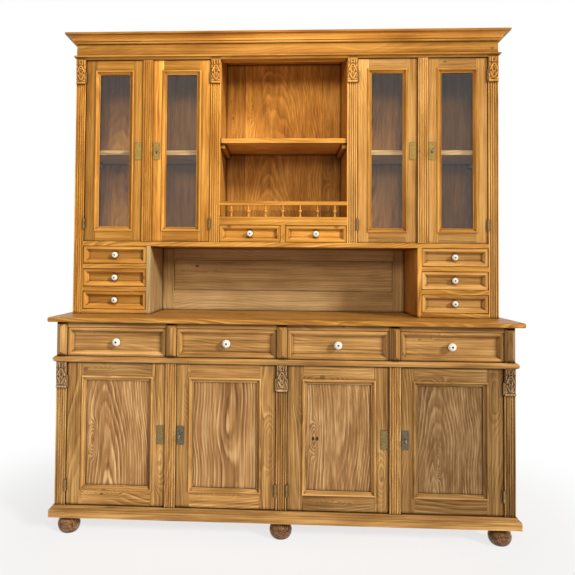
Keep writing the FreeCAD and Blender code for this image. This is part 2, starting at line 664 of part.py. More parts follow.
# Spaces that hold something
shelf_z = z_floor + base_shelf_height
for label, x0, x1 in (("left", -base_inner, -board / 2), ("right", board / 2, base_inner)):
    x0, x1 = x0 + batten + run_gap, x1 - batten - run_gap
    y0, y1 = y_base + base_shelf_setback, y_back - run_gap
    space("base_%s_lower" % label, "pots and pans", x0, x1, y0, y1, z_floor + run_gap, shelf_z - run_gap)
    space("base_%s_upper" % label, "bowls and dishes", x0, x1, y0, y1, shelf_z + board + run_gap, z_dust - run_gap)
shelf_z = z_hutch + side_shelf_height
for label, x0, x1 in (("left", -hutch_inner, -partition_half), ("right", partition_half, hutch_inner)):
    x0, x1 = x0 + batten + run_gap, x1 - batten - run_gap
    y0, y1 = y_hutch + side_shelf_setback, y_back - run_gap
    space("glazed_%s_lower" % label, "glasses", x0, x1, y0, y1, z_hutch + run_gap, shelf_z - run_gap)
    space("glazed_%s_upper" % label, "glasses", x0, x1, y0, y1, shelf_z + board + run_gap, z_crown - run_gap)
shelf_z = z_hutch + centre_shelf_height
x1 = centre_half - batten - run_gap
space("open_bay_lower", "crockery", -x1, x1, y_centre + run_gap, y_back - run_gap, z_centre + run_gap,
      shelf_z - run_gap)
space("open_bay_upper", "crockery", -x1, x1, y_hutch_carcass + soffit_depth, y_back - run_gap,
      shelf_z + board + run_gap, z_frieze - run_gap)
space("niche", "jars on the worktop", run_gap - niche_half, niche_half - run_gap, y_hutch, y_niche - run_gap,
      z_worktop + run_gap, z_niche - run_gap)

os.makedirs("parts", exist_ok=True)
for node, solids in nodes.items():
    Part.makeCompound(solids).exportStep("parts/%s.step" % node)
    print(node, len(solids), "solids", round(sum(s.Volume for s in solids)), "mm3")
print(len(nodes), "nodes,", len(joints), "joints")
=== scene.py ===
# %% [markdown]
# # A pine kitchen cupboard
# This notebook dresses a CAD model of a two-stage kitchen cupboard. The CAD part gives every board its
# place and its motion, and Blender gives it wood grain, worn edges, carving, porcelain, glass and metal.
# The frame is loaded first, because all later pieces are measured from it.

# %% Load the frame
import json
import math
import random

import bmesh
import bpy
import numpy as np
from mathutils import Matrix, Vector

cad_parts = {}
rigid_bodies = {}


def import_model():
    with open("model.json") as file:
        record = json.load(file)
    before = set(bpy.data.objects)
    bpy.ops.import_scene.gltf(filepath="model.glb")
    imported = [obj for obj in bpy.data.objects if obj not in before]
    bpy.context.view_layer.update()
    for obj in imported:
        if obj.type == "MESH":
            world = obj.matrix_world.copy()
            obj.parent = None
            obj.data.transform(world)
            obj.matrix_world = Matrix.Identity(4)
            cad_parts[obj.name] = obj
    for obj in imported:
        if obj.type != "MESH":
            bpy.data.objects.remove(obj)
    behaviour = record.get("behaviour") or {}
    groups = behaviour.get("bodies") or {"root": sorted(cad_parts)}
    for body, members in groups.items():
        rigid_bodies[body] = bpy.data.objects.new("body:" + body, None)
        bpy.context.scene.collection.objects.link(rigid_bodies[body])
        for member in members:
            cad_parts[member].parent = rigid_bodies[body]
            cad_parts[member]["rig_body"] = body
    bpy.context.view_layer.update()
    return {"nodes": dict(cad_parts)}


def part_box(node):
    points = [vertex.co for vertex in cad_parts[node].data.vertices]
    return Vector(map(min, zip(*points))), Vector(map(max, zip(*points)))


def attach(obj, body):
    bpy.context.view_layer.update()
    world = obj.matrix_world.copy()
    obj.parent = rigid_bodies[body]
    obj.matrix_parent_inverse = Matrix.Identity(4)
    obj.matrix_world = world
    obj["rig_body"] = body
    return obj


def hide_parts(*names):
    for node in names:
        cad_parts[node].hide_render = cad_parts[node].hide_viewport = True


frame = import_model()
MM = 0.001

# %% [markdown]
# ## Camera
# The photograph was taken from in front, a little above the worktop and just left of the middle, aimed
# slightly to the left and up. A pinhole camera fitted to the straight edges gave the place, the angles, the
# lens and the small shift. The camera is turned by its own axes, because three nested angles are easy to
# mix up.

# %% Aim the camera
# Angles in radians, the eye's place in metres, and the lens and the middle of the picture in its pixels.
YAW, PITCH, ROLL = 0.0513, 0.0288, 0.0087
EYE = (-0.0019, -2.7828, 1.1184)
PHOTO_SIDE, LENS_PIXELS, MIDDLE = 575, 625.0, (250.1, 247.0)
SENSOR_WIDTH = 36.0

ahead = Vector((-math.sin(YAW) * math.cos(PITCH), math.cos(YAW) * math.cos(PITCH), math.sin(PITCH)))
level = Vector((math.cos(YAW), math.sin(YAW), 0.0))
upward = level.cross(ahead)
right = math.cos(ROLL) * level + math.sin(ROLL) * upward
top = -math.sin(ROLL) * level + math.cos(ROLL) * upward

camera_data = bpy.data.cameras.new("camera")
camera_data.sensor_width = SENSOR_WIDTH
camera_data.lens = LENS_PIXELS / PHOTO_SIDE * SENSOR_WIDTH
camera_data.shift_x = (PHOTO_SIDE / 2 - MIDDLE[0]) / PHOTO_SIDE
camera_data.shift_y = -(PHOTO_SIDE / 2 - MIDDLE[1]) / PHOTO_SIDE
camera = bpy.data.objects.new("camera", camera_data)
turn = Matrix((right, top, -ahead)).transposed().to_4x4()
camera.matrix_world = Matrix.Translation(EYE) @ turn
bpy.context.scene.collection.objects.link(camera)
bpy.context.scene.camera = camera
bpy.context.scene.view_settings.view_transform = "Standard"
print("lens", round(camera_data.lens, 2), "mm, shift",
      round(camera_data.shift_x, 3), round(camera_data.shift_y, 3))

# %% [markdown]
# ## Colours and nodes
# Colours are picked as sRGB hex values, the way a colour picker shows them, and Blender calculates in
# linear light, so one function converts them. A second small function adds any node, sets it and links it,
# which keeps the materials below short enough to read.

# %% Colour and node helpers
def linear(code):
    """An sRGB hex colour as linear red, green, blue and alpha."""
    parts = [int(code[i:i + 2], 16) / 255 for i in (1, 3, 5)]
    return tuple(p / 12.92 if p <= 0.04045 else ((p + 0.055) / 1.055) ** 2.4 for p in parts) + (1.0,)


def add(tree, kind, *feeds, **settings):
    """A new node with its settings. Feeds go to its inputs in order, or by name if they are in a dictionary.
    A feed is a value, a socket to link, or a node whose first output is linked."""
    node = tree.nodes.new("ShaderNode" + kind)
    for key, value in settings.items():
        setattr(node, key, value)
    wanted = {}
    for number, feed in enumerate(feeds):
        wanted.update(feed if isinstance(feed, dict) else {number: feed})
    for socket, value in wanted.items():
        if isinstance(value, bpy.types.Node):
            value = value.outputs[0]
        if isinstance(value, bpy.types.NodeSocket):
            tree.links.new(value, node.inputs[socket])
        else:
            node.inputs[socket].default_value = value
    return node


def material(name):
    """A new material and its empty tree."""
    made = bpy.data.materials.new(name)
    made.use_nodes = True
    made.node_tree.nodes.clear()
    return made, made.node_tree


print("middle grey is", [round(c, 3) for c in linear("#808080")[:3]])

# %% [markdown]
# ## Studio
# The object stands on a plain pale floor in soft light, as on a white page. The surroundings look pure
# white to the camera and in gloss and glass. They could light the wood as white too, but that would flatten
# the mouldings, so a light path node tells these rays apart and the wood gets less.

# %% White surroundings
WHITE = (1, 1, 1, 1)
AMBIENT = 0.11


def seen_directly(tree):
    """1 for the camera's rays and for those in gloss and glass, 0 for rays that light the object."""
    rays = add(tree, "LightPath").outputs
    direct = add(tree, "Math", rays["Is Camera Ray"], rays["Is Transmission Ray"], operation="MAXIMUM")
    return add(tree, "Math", direct, rays["Is Glossy Ray"], operation="MAXIMUM")


world = bpy.data.worlds.new("white_studio")
world.use_nodes = True
bpy.context.scene.world = world
sky = world.node_tree
sky.nodes.clear()
page = add(sky, "Background", {"Color": WHITE, "Strength": 1.0})
ambient = add(sky, "Background", {"Color": linear("#f4f1ec"), "Strength": AMBIENT})
add(sky, "OutputWorld", add(sky, "MixShader", seen_directly(sky), ambient, page))
print("white surroundings, ambient light", AMBIENT)

# %% [markdown]
# In the photograph the right slopes of the drawer blocks are bright and the left ones dark, and the knobs
# throw their shadow to the left. So most light comes from far off on the right, as through a large window.
# The rest comes from a softbox in front, and a small one warms the middle of the hutch.

# %% Lamps
def lamp(name, kind, place, aim, tint, **settings):
    """A studio lamp at place, facing aim, out of sight of the camera and of gloss and glass."""
    light = bpy.data.lights.new(name, kind)
    light.color = linear(tint)[:3]
    for key, value in settings.items():
        setattr(light, key, value)
    holder = bpy.data.objects.new(name, light)
    holder.location = place
    holder.rotation_euler = (Vector(aim) - Vector(place)).to_track_quat("-Z", "Y").to_euler()
    holder.visible_camera = holder.visible_glossy = holder.visible_transmission = False
    bpy.context.scene.collection.objects.link(holder)


# A sun with a wide angle is a softbox that is far enough off to light both ends of the cupboard alike.
lamp("window_light", "SUN", (3.1, -2.7, 2.9), (0, 0, 1.1), "#fffdfa", energy=2.75, angle=0.20)
lamp("front_softbox", "AREA", (-0.1, -4.2, 2.5), (0, 0, 1.1), "#fff2e0",
     energy=66, shape="RECTANGLE", size=1.0, size_y=0.8)
lamp("hutch_softbox", "AREA", (0.04, -0.80, 2.2), (0.04, 0, 1.95), "#ffeccf",
     energy=4.6, shape="RECTANGLE", size=0.5, size_y=0.3)
print("lamps:", ", ".join(bpy.data.lights.keys()))

# %% [markdown]
# The floor keeps the soft shadow near the cupboard and fades to the white of the page further out. The fade
# could be a lamp, but that would light the object too, so the material glows more the further out it is.

# %% Floor
FLOOR_SIDE = 12.0
# Where the fade starts and ends, in metres from the middle, and how white the floor is where it starts.
FADE_START, FADE_END, FADE_WHITE = 0.9, 1.9, 0.75

bpy.ops.object.select_all(action="DESELECT")
bpy.ops.mesh.primitive_plane_add(size=FLOOR_SIDE, location=(0, 0, 0))
floor = bpy.context.object
floor.name = "floor"
# Matt pale paper: no gloss, so that only the shadow shows on it.
pale_floor, tree = material("pale_floor")
away = add(tree, "VectorMath", add(tree, "TexCoord").outputs["Object"], operation="LENGTH").outputs["Value"]
fade = add(tree, "MapRange", away, FADE_START, FADE_END, FADE_WHITE, 1.0, interpolation_type="SMOOTHSTEP")
white = add(tree, "Math", fade, seen_directly(tree), operation="MULTIPLY")
matt = add(tree, "BsdfDiffuse", {"Color": linear("#f7f6f4")})
glow = add(tree, "Emission", {"Color": WHITE, "Strength": 1.0})
add(tree, "OutputMaterial", add(tree, "MixShader", white, matt, glow))
floor.data.materials.append(pale_floor)
print("floor", floor.dimensions[:2])

# %% [markdown]
# ## Waxed pine
# The wood is flat-sawn pine, planed, stained a little and waxed. A wood texture could be made of stretched
# noise, but its figure really comes from the growth rings of a log, so the material computes them: the
# distance from the log's pith, pushed about by a slow wander, by the log's taper and by a knot, divided by
# the ring spacing. Every board carries its own coordinates in an attribute, in millimetres along the grain,
# across it and into the log, so grain follows each board the way a joiner would lay it.

# %% What the pine reads
# The attributes that every board carries, with a name for each of their three numbers.
BOARD_FACTS = {"grain": ("along", "across", "deep"), "board_tone": ("tone", "darkness", "figure"),
               "knot": ("knot_along", "knot_across", "knot_size")}
# Noise in the wood: the lengths of its patches along, across and into the log, in millimetres, then its
# detail and roughness. Real fibres are finer than a pixel, so they are drawn 4.5 mm wide and faint.
PATCHES = {"stray": ((520, 4000, 4000), 1.0, 0.5), "slow": ((560, 80, 80), 2.0, 0.5),
           "fine": ((220, 12, 12), 2.0, 0.5), "bold": ((260, 60, 60), 1.0, 0.5),
           "fibre": ((320, 4.5, 4.5), 3.0, 0.6), "streak": ((800, 16.0, 16.0), 2.0, 0.5),
           "cloud": ((300, 120, 120), 3.0, 0.55)}


def wood_facts(tree):
    """The numbers of a point's board and the patches of noise in its wood, by name."""
    facts = {}
    for attribute, names in BOARD_FACTS.items():
        facts[attribute] = add(tree, "Attribute", attribute_name=attribute).outputs["Vector"]
        facts.update(zip(names, add(tree, "SeparateXYZ", facts[attribute]).outputs))
    for name, (lengths, detail, rough) in PATCHES.items():
        steps = [1 / length for length in lengths]
        place = add(tree, "VectorMath", facts["grain"], steps, operation="MULTIPLY")
        facts[name] = add(tree, "TexNoise", {"Vector": place, "Scale": 1.0, "Detail": detail,
                                             "Roughness": rough})
    return facts


def distance(tree, offset, other):
    """How far a point is, from its offsets on two axes at right angles."""
    squares = [add(tree, "Math", part, part, operation="MULTIPLY") for part in (offset, other)]
    return add(tree, "Math", add(tree, "Math", *squares, operation="ADD"), operation="SQRT")


def set_stops(ramp, stops):
    """The stops of a colour ramp from its start to its end, each a place and a colour."""
    elements = ramp.color_ramp.elements
    for place, _ in stops[1:-1]:
        elements.new(place)
    for element, (_, colour) in zip(elements, stops):
        element.color = colour


print("patches in the wood:", ", ".join(PATCHES))

# %% [markdown]
# A knot is a branch that the log grew around. The rings swing out around it in a slender eye, and its own
# heart is dark and rounder. Some boards show twin knots side by side, which is the same knot mirrored at
# its middle.

# %% Knots
# How much longer than wide the eye and the heart are, how far the eye reaches, in sizes of the knot, and
# where the heart's rim is soft.
EYE_STRETCH, EYE_REACH = 3.6, 5.0
HEART_STRETCH, HEART_INSIDE, HEART_OUTSIDE = 1.5, 0.55, 1.05
# A darkness over this limit stands for twins, which lie this far from their middle.
TWIN_DARKNESS, TWIN_OFFSET = 1.5, 1.35


def knots_in(tree, wood):
    """How much the rings swell around a board's knot, and how dark its heart is."""
    lengthwise = add(tree, "Math", wood["along"], wood["knot_along"], operation="SUBTRACT")
    offset = add(tree, "Math", wood["across"], wood["knot_across"], operation="SUBTRACT")
    sideways = add(tree, "Math", offset, wood["knot_size"], operation="DIVIDE")
    twins = add(tree, "Math", wood["darkness"], TWIN_DARKNESS, operation="GREATER_THAN")
    twins = add(tree, "Math", twins, TWIN_OFFSET, operation="MULTIPLY")
    mirrored = add(tree, "Math", sideways, operation="ABSOLUTE")
    beside = add(tree, "Math", mirrored, twins, operation="SUBTRACT")
    apart = []
    for stretch, aside in ((EYE_STRETCH, sideways), (HEART_STRETCH, beside)):
        length = add(tree, "Math", wood["knot_size"], stretch, operation="MULTIPLY")
        apart.append(distance(tree, add(tree, "Math", lengthwise, length, operation="DIVIDE"), aside))
    swell = add(tree, "MapRange", apart[0], 0.0, EYE_REACH, 1.0, 0.0, interpolation_type="SMOOTHERSTEP")
    heart = add(tree, "MapRange", apart[1], HEART_INSIDE, HEART_OUTSIDE, 1.0, 0.0,
                interpolation_type="SMOOTHSTEP")
    return swell, add(tree, "Math", heart, wood["darkness"], operation="MULTIPLY")


print("a knot's eye reaches", EYE_REACH, "times its size")

# %% [markdown]
# Each ring runs from pale earlywood to a narrow dark line of latewood. The pith isn't straight: it strays
# sideways and in depth along the log, which makes the flames. No two years are alike, and the figure is
# bold in some places and faint in others, because lines of one strength look printed.

# %% Growth rings
# How far the pith strays sideways and in depth, and the finer wander of the rings, in millimetres.
STRAY_SIDE, STRAY_DEEP, FINE_WANDER = 120.0, 60.0, 4.0
# The log's taper, and by how many rings a knot's eye swells.
TAPER, EYE_RINGS = 0.03, 4.5
# Places in a year and the grey of the wood there, and the mean of these greys.
YEAR = ((0.0, 0.30), (0.30, 0.42), (0.52, 0.95), (0.70, 0.85), (0.82, 0.10), (0.92, 0.0), (1.0, 0.30))
YEAR_MEAN = 0.46
FAINT_YEAR, FAINT_PATCH = 0.30, 0.35


def growth_rings(tree, wood, swell, ring, wander):
    """The grey of the year at each point, and the figure that it makes, about zero."""
    stray = add(tree, "SeparateXYZ", wood["stray"].outputs["Color"]).outputs
    offsets = []
    for shift, most, place in ((stray[0], STRAY_SIDE, "across"), (stray[1], STRAY_DEEP, "deep")):
        centred = add(tree, "Math", wood[place], -most / 2, operation="ADD")
        offsets.append(add(tree, "Math", shift, most, centred, operation="MULTIPLY_ADD"))
    fine = add(tree, "Math", wood["fine"], FINE_WANDER, operation="MULTIPLY")
    shift = add(tree, "Math", wood["slow"], 2 * wander, fine, operation="MULTIPLY_ADD")
    growth = add(tree, "Math", distance(tree, *offsets), shift, operation="ADD")
    taper = add(tree, "Math", wood["along"], TAPER, operation="MULTIPLY")
    growth = add(tree, "Math", growth, taper, operation="ADD")
    growth = add(tree, "Math", swell, EYE_RINGS * ring, growth, operation="MULTIPLY_ADD")
    years = add(tree, "Math", growth, ring, operation="DIVIDE")
    year = add(tree, "ValToRGB", add(tree, "Math", years, operation="FRACT"))
    set_stops(year, [(place, (grey, grey, grey, 1.0)) for place, grey in YEAR])
    whole = add(tree, "Math", years, operation="FLOOR")
    season = add(tree, "TexWhiteNoise", {"W": whole}, noise_dimensions="1D")
    season = add(tree, "MapRange", season, 0.0, 1.0, FAINT_YEAR, 1.0)
    patch = add(tree, "MapRange", wood["bold"], 0.38, 0.62, FAINT_PATCH, 1.0)
    bold = add(tree, "Math", season, patch, operation="MULTIPLY")
    bold = add(tree, "Math", bold, wood["figure"], operation="MULTIPLY")
    centred = add(tree, "Math", year, -YEAR_MEAN, operation="ADD")
    return year, add(tree, "Math", centred, bold, operation="MULTIPLY")


print("latewood is darkest at", min(YEAR, key=lambda stop: stop[1])[0], "of a year")

# %% [markdown]
# Old wax has gathered in the corners of the mouldings and darkened there, and hands have rubbed the edges
# paler. The corners also get painted shade, and the edges a painted highlight. Both could be painted by
# hand, but an ambient occlusion node finds them: from outside it finds the corners, and from inside the
# edges. The boards behind an open bay are painted lighter higher up and darker low down, as painted light
# and painted shade.

# %% Wax, wear, painted shade and painted light
OCCLUSION_SAMPLES = 5
# How open a corner is where wax and painted shade are darkest, and where they end.
FULL_WAX_AND_SHADE, NO_WAX_AND_SHADE = 0.5, 0.97
# Wear and a painted highlight within 4 mm of an edge, and how much paler the wood is there.
EDGE_WEAR_AND_HIGHLIGHT_REACH, EDGE_WEAR_AND_HIGHLIGHT_GAIN = 0.004, 1.25
EDGE_FULL_AT, EDGE_NONE_AT = 0.45, 0.90


def wax_wear_and_painted_light(tree, reach, dark):
    """What old waxing and painted shade in the corners leave of the colour, and what wear and a
    painted highlight on the edges add to it.
    """
    hollow = add(tree, "AmbientOcclusion", {"Distance": reach}, samples=OCCLUSION_SAMPLES).outputs["AO"]
    rim = add(tree, "AmbientOcclusion", {"Distance": EDGE_WEAR_AND_HIGHLIGHT_REACH}, samples=OCCLUSION_SAMPLES, inside=True)
    # Painted shade with old wax: the colour is darker in corners that the occlusion finds.
    wax = add(tree, "MapRange", hollow, FULL_WAX_AND_SHADE, NO_WAX_AND_SHADE, dark, 1.0)
    # Wear with a painted highlight: the colour is paler on edges that the occlusion finds from inside.
    wear_and_highlight = add(tree, "MapRange", rim.outputs["AO"], EDGE_FULL_AT, EDGE_NONE_AT, EDGE_WEAR_AND_HIGHLIGHT_GAIN, 1.0)
    # Given by board: painted shade by height, painted shade and a painted highlight on carvings, lighter
    # flutes.
    given_wax_and_painted_light = add(tree, "Attribute", attribute_name="wax").outputs["Fac"]
    clean = add(tree, "Math", 1.0, given_wax_and_painted_light, operation="SUBTRACT")
    both = add(tree, "Math", wax, wear_and_highlight, operation="MULTIPLY")
    return add(tree, "Math", both, clean, operation="MULTIPLY")


def painted_bay_gain(tree, half, behind, steps):
    """Gains of painted light and shade on the wood behind an open bay, each from a height up. The bay has a
    half width, and only what lies before the depth behind gets them. All are in metres."""
    x, y, z = add(tree, "SeparateXYZ", add(tree, "TexCoord").outputs["Object"]).outputs
    gain, last = 0.0, 1.0
    for height, value in steps:
        above = add(tree, "Math", z, height, operation="GREATER_THAN")
        gain, last = add(tree, "Math", above, value - last, gain, operation="MULTIPLY_ADD"), value
    front = add(tree, "Math", y, behind, operation="LESS_THAN")
    gain = add(tree, "Math", front, gain, operation="MULTIPLY")
    bay = add(tree, "Math", add(tree, "Math", x, operation="ABSOLUTE"), half, operation="LESS_THAN")
    return add(tree, "Math", bay, gain, 1.0, operation="MULTIPLY_ADD")


print("edges are worn within", EDGE_WEAR_AND_HIGHLIGHT_REACH / MM, "mm")

# %% [markdown]
# The pine puts these together. Streaks and clouds are the stain's, which took unevenly. The gloss is that
# of wax, a little duller where fibres stand, and the bump is only as deep as a fingertip feels.

# %% Pine material
STREAKS, CLOUDS = 0.95, 1.0
WOOD_IOR, WAX_SPECULAR = 1.45, 0.28
RING_RELIEF, FIBRE_RELIEF, BUMP_STRENGTH, BUMP_DEEP = 0.4, 0.6, 0.12, 0.0006
WAX_GLOSS, SMOOTHER, ROUGHER = 0.40, 0.06, 0.10


def pine(name, line, body, pale, knot, ring=9.0, wander=13.0, gloss=WAX_GLOSS, reach=0.013, dark=0.08,
         fibres=1.3, painted_bay_light=None):
    """Waxed pine: its colours from latewood to earlywood, and of the knots. Ring and wander are in
    millimetres. Reach is how far from a corner old waxing and painted shade lie, in metres, and dark what
    colour they leave."""
    made, tree = material(name)
    wood = wood_facts(tree)
    swell, heart = knots_in(tree, wood)
    year, shade = growth_rings(tree, wood, swell, ring, wander)
    for patches, strength in (("fibre", fibres), ("streak", STREAKS), ("cloud", CLOUDS)):
        centred = add(tree, "Math", wood[patches], -0.5, operation="ADD")
        shade = add(tree, "Math", centred, strength, shade, operation="MULTIPLY_ADD")
    colour = add(tree, "ValToRGB", add(tree, "Math", shade, 0.5, operation="ADD"))
    set_stops(colour, [(0.0, linear(line)), (0.5, linear(body)), (1.0, linear(pale))])
    knotted = add(tree, "Mix", {"Factor": heart, 6: colour, 7: linear(knot)}, data_type="RGBA").outputs[2]
    # Painted shade in corners and a painted highlight on edges, with old wax and wear.
    wax = wax_wear_and_painted_light(tree, reach, dark)
    # Painted light and shade behind the open bay: lighter higher up, darker low down.
    if painted_bay_light:
        wax = add(tree, "Math", wax, painted_bay_gain(tree, *painted_bay_light), operation="MULTIPLY")
    gain = add(tree, "Math", wax, wood["tone"], operation="MULTIPLY")
    waxed_and_shaded = add(tree, "VectorMath", knotted, {"Scale": gain}, operation="SCALE")
    rough = add(tree, "MapRange", wood["fibre"], 0.2, 0.8, gloss - SMOOTHER, gloss + ROUGHER)
    relief = add(tree, "Math", wood["fibre"], FIBRE_RELIEF, operation="MULTIPLY")
    relief = add(tree, "Math", year, RING_RELIEF, relief, operation="MULTIPLY_ADD")
    bump = add(tree, "Bump", {"Height": relief, "Strength": BUMP_STRENGTH, "Distance": BUMP_DEEP})
    skin = add(tree, "BsdfPrincipled", {"Base Color": waxed_and_shaded, "Roughness": rough, "IOR": WOOD_IOR,
                                        "Specular IOR Level": WAX_SPECULAR, "Normal": bump})
    add(tree, "OutputMaterial", skin)
    return made


print("waxed pine has a roughness of about", WAX_GLOSS)

# %% [markdown]
# All nine pines come from this one function. They differ in colour, in how wide and how wild the rings are,
# and in how far wax and painted shade lie from a corner, which is what tells golden pine from brown pine or
# from a carving.

# %% The pines of this cupboard
# The hutch: planed pine under golden wax, warm and satin, with thin dark lines.
golden_pine = pine("waxed_golden_pine", "#7d4c18", "#be8438", "#eab05a", "#573312", wander=11.0,
                   fibres=0.95)
# The back boards: the same wax on a wilder, softer figure, with painted shade low in the bay and painted
# light further up.
BAY_HALF, BOARD_MIDDLE, PAINTED_BAY_GAINS = 0.289, 0.2555, ((1.2, 0.8), (1.385, 1.1), (1.66, 1.45))
back_pine = pine("waxed_pine_back_boards", "#7d4c18", "#b98239", "#e6ae5c", "#573312", wander=16.0,
                 fibres=0.6, painted_bay_light=(BAY_HALF, BOARD_MIDDLE, PAINTED_BAY_GAINS))
# The base: handled more, so its wax has gone browner and its rings look wider.
brown_pine = pine("waxed_brown_pine", "#694722", "#af8249", "#dcb070", "#4c3116", ring=11.0, wander=13.0)
# The door panels: flat-sawn and calm, so that tall flames show from pale to dark brown.
panel_pine = pine("flat_sawn_pine_panel", "#6e4a28", "#a3794a", "#dab480", "#3a2414", ring=10.0, wander=9.0,
                  fibres=0.9)
# The right of the hutch: golden pine that daylight has faded, paler and less orange.
faded_pine = pine("faded_golden_pine", "#825526", "#c89551", "#edbd77", "#5b3a1c", wander=11.0, fibres=0.95)
# The niche over the worktop and the side shelves: thinly waxed pine that has greyed, dull and cool.
grey_pine = pine("greyed_pine_niche", "#7b603c", "#b09060", "#d1b483", "#3a2414", ring=11.0, wander=12.0,
                 fibres=0.9)
# The carvings: a painted highlight on their leaves, and painted shade with old wax in narrow hollows only.
carved_golden = pine("rubbed_golden_carving", "#8a5724", "#c98f44", "#eab768", "#4a2a12", reach=0.007,
                     dark=0.5)
carved_brown = pine("rubbed_brown_carving", "#604932", "#a3825b", "#d4b68c", "#46301c", reach=0.007,
                    dark=0.5)
# The feet: stained dark and polished on the lathe, with the glossiest wax and close rings.
dark_pine = pine("dark_stained_pine", "#3a2415", "#6e4c33", "#ac865e", "#22130b", ring=8.0, wander=6.0,
                 gloss=0.26)
for made in (golden_pine, back_pine, brown_pine, panel_pine, faded_pine, grey_pine, carved_golden,
             carved_brown, dark_pine):
    print(made.name, len(made.node_tree.nodes), "nodes")

# %% [markdown]
# ## Boards
# The CAD nodes are right in shape, but as loose triangles they can't take a worn edge or their own grain.
# So each wooden node is copied: the triangles are sorted back into closed boards, each board's corners are
# merged, flat faces are dissolved into one, and long sharp edges get a small bevel as from years of
# polishing. Then each board gets its own log: the longest side is the grain, and the pith lies somewhere
# behind its face.

# %% Sort a node into boards
# Points are the same where they agree to a ten-thousandth of a millimetre.
STEPS_PER_METRE = 1e7


def values(data, name, width=1, kind=float):
    """One property of all points, faces or corners of a mesh, as rows of an array."""
    found = np.empty(len(data) * width, kind)
    data.foreach_get(name, found)
    return found.reshape(-1, width) if width > 1 else found


def closed_solids(node):
    """The node's points, and its triangles as closed solids: one ends where all edges met their twins."""
    mesh = frame["nodes"][node].data
    points = values(mesh.vertices, "co", 3)
    spots = np.round(points * STEPS_PER_METRE).astype(np.int64)
    _, first, same = np.unique(spots, axis=0, return_index=True, return_inverse=True)
    corners = values(mesh.loops, "vertex_index", kind=np.int64)
    triangles = same.reshape(-1)[corners].reshape(-1, 3).tolist()
    solids, waiting, begun = [], set(), 0
    for number, (a, b, c) in enumerate(triangles):
        for edge in ((a, b), (b, c), (c, a)):
            twin = edge[::-1]
            if twin in waiting:
                waiting.remove(twin)
            else:
                waiting.add(edge)
        if not waiting:
            solids.append(triangles[begun:number + 1])
            begun = number + 1
    return points[first], solids


def solid_box(node, number):
    """The lowest and highest corner of one solid of a node, in millimetres."""
    points, solids = closed_solids(node)
    mine = points[np.unique(solids[number])] / MM
    return mine.min(0), mine.max(0)


counts = {node: len(closed_solids(node)[1]) for node in ("base_door_1", "hutch_carcass", "cornice")}
print("boards found", counts)

# %% [markdown]
# Polished edges are made as by hand: select the long sharp edges of one board and bevel them. It goes board
# by board, because a bevel is held back by the shortest edge it meets, and one small board would hold back
# all the others.

# %% Ease the edges
SHARP, LONG_EDGE = math.radians(40), 12 * MM


def ease(piece, width):
    """Bevels the long sharp edges of each board of a piece by a width in millimetres."""
    boards = values(piece.data.attributes["board"].data, "value", kind=np.int64)
    bpy.ops.object.mode_set(mode="EDIT")
    bpy.ops.mesh.select_mode(type="EDGE")
    for number in np.unique(boards).tolist():
        shape = bmesh.from_edit_mesh(piece.data)
        layer = shape.faces.layers.int["board"]
        for edge in shape.edges:
            faces = edge.link_faces
            edge.select_set(len(faces) == 2 and faces[0][layer] == number and edge.calc_length() > LONG_EDGE
                            and edge.calc_face_angle(0.0) > SHARP)
        shape.select_flush_mode()
        bmesh.update_edit_mesh(piece.data)
        bpy.ops.mesh.bevel(offset=width * MM, segments=2, clamp_overlap=True, affect="EDGES")
    bpy.ops.object.mode_set(mode="OBJECT")


print("edges over", LONG_EDGE / MM, "mm long are eased")

# %% [markdown]
# The grain is written on the points of the finished mesh. A wide board has the pith near its middle, which
# gives the flames of a flat-sawn panel. A narrow one is cut from further out, which gives straight lines.
# The log leans a little in a wide board, which stacks the flames. Some boards have a knot, at a place that
# is listed or drawn by chance from a seed of their own, so that every run gives the same boards.

# %% Draw a log and a knot by chance
# All lengths are in millimetres.
WIDE_BOARD, LOG_LENGTH = 150, 9000


def chance_pith(draw, width):
    """Where a board lies in its log: how far aside and behind the pith is, the start along it, its lean."""
    if width > WIDE_BOARD:
        aside = draw.uniform(-0.3, 0.3) * width
        behind, start = draw.uniform(30, 70), draw.uniform(0, LOG_LENGTH)
        return aside, behind, start, draw.choice((-1, 1)) * draw.uniform(0.05, 0.12)
    aside = draw.choice((-1, 1)) * draw.uniform(40, 170)
    behind, start = draw.uniform(50, 130), draw.uniform(0, LOG_LENGTH)
    return aside, behind, start, draw.uniform(-0.02, 0.02)


def chance_knot(draw, low, high, chance):
    """A spot on a board and, by chance, a small knot there: x and z of its heart, its size, its darkness."""
    spot = [draw.uniform(low[axis], high[axis]) for axis in range(3)]
    if draw.random() < chance:
        return spot, (spot[0], spot[2], draw.uniform(3, 9), draw.choice((0.0, 0.0, 0.6)))
    return spot, None


print("boards over", WIDE_BOARD, "mm wide show flames")

# %% [markdown]
# All that the pine reads is gathered board by board and written in one go. Finishes, piths, tones, knots
# and painted shade by height are given by the board's number where the photograph shows them. Flutes get
# less painted shade than a corner of their depth would.

# %% Give each board its grain
NO_KNOT = (1e6, 1e6, 1.0)
# Flutes are lightened towards their full depth, in millimetres, taking back part of their painted shade.
FLUTE_DEPTH, FLUTE_SHADE_LIFT = 3.5, 0.25
TONE_LOW, TONE_HIGH = 0.93, 1.06


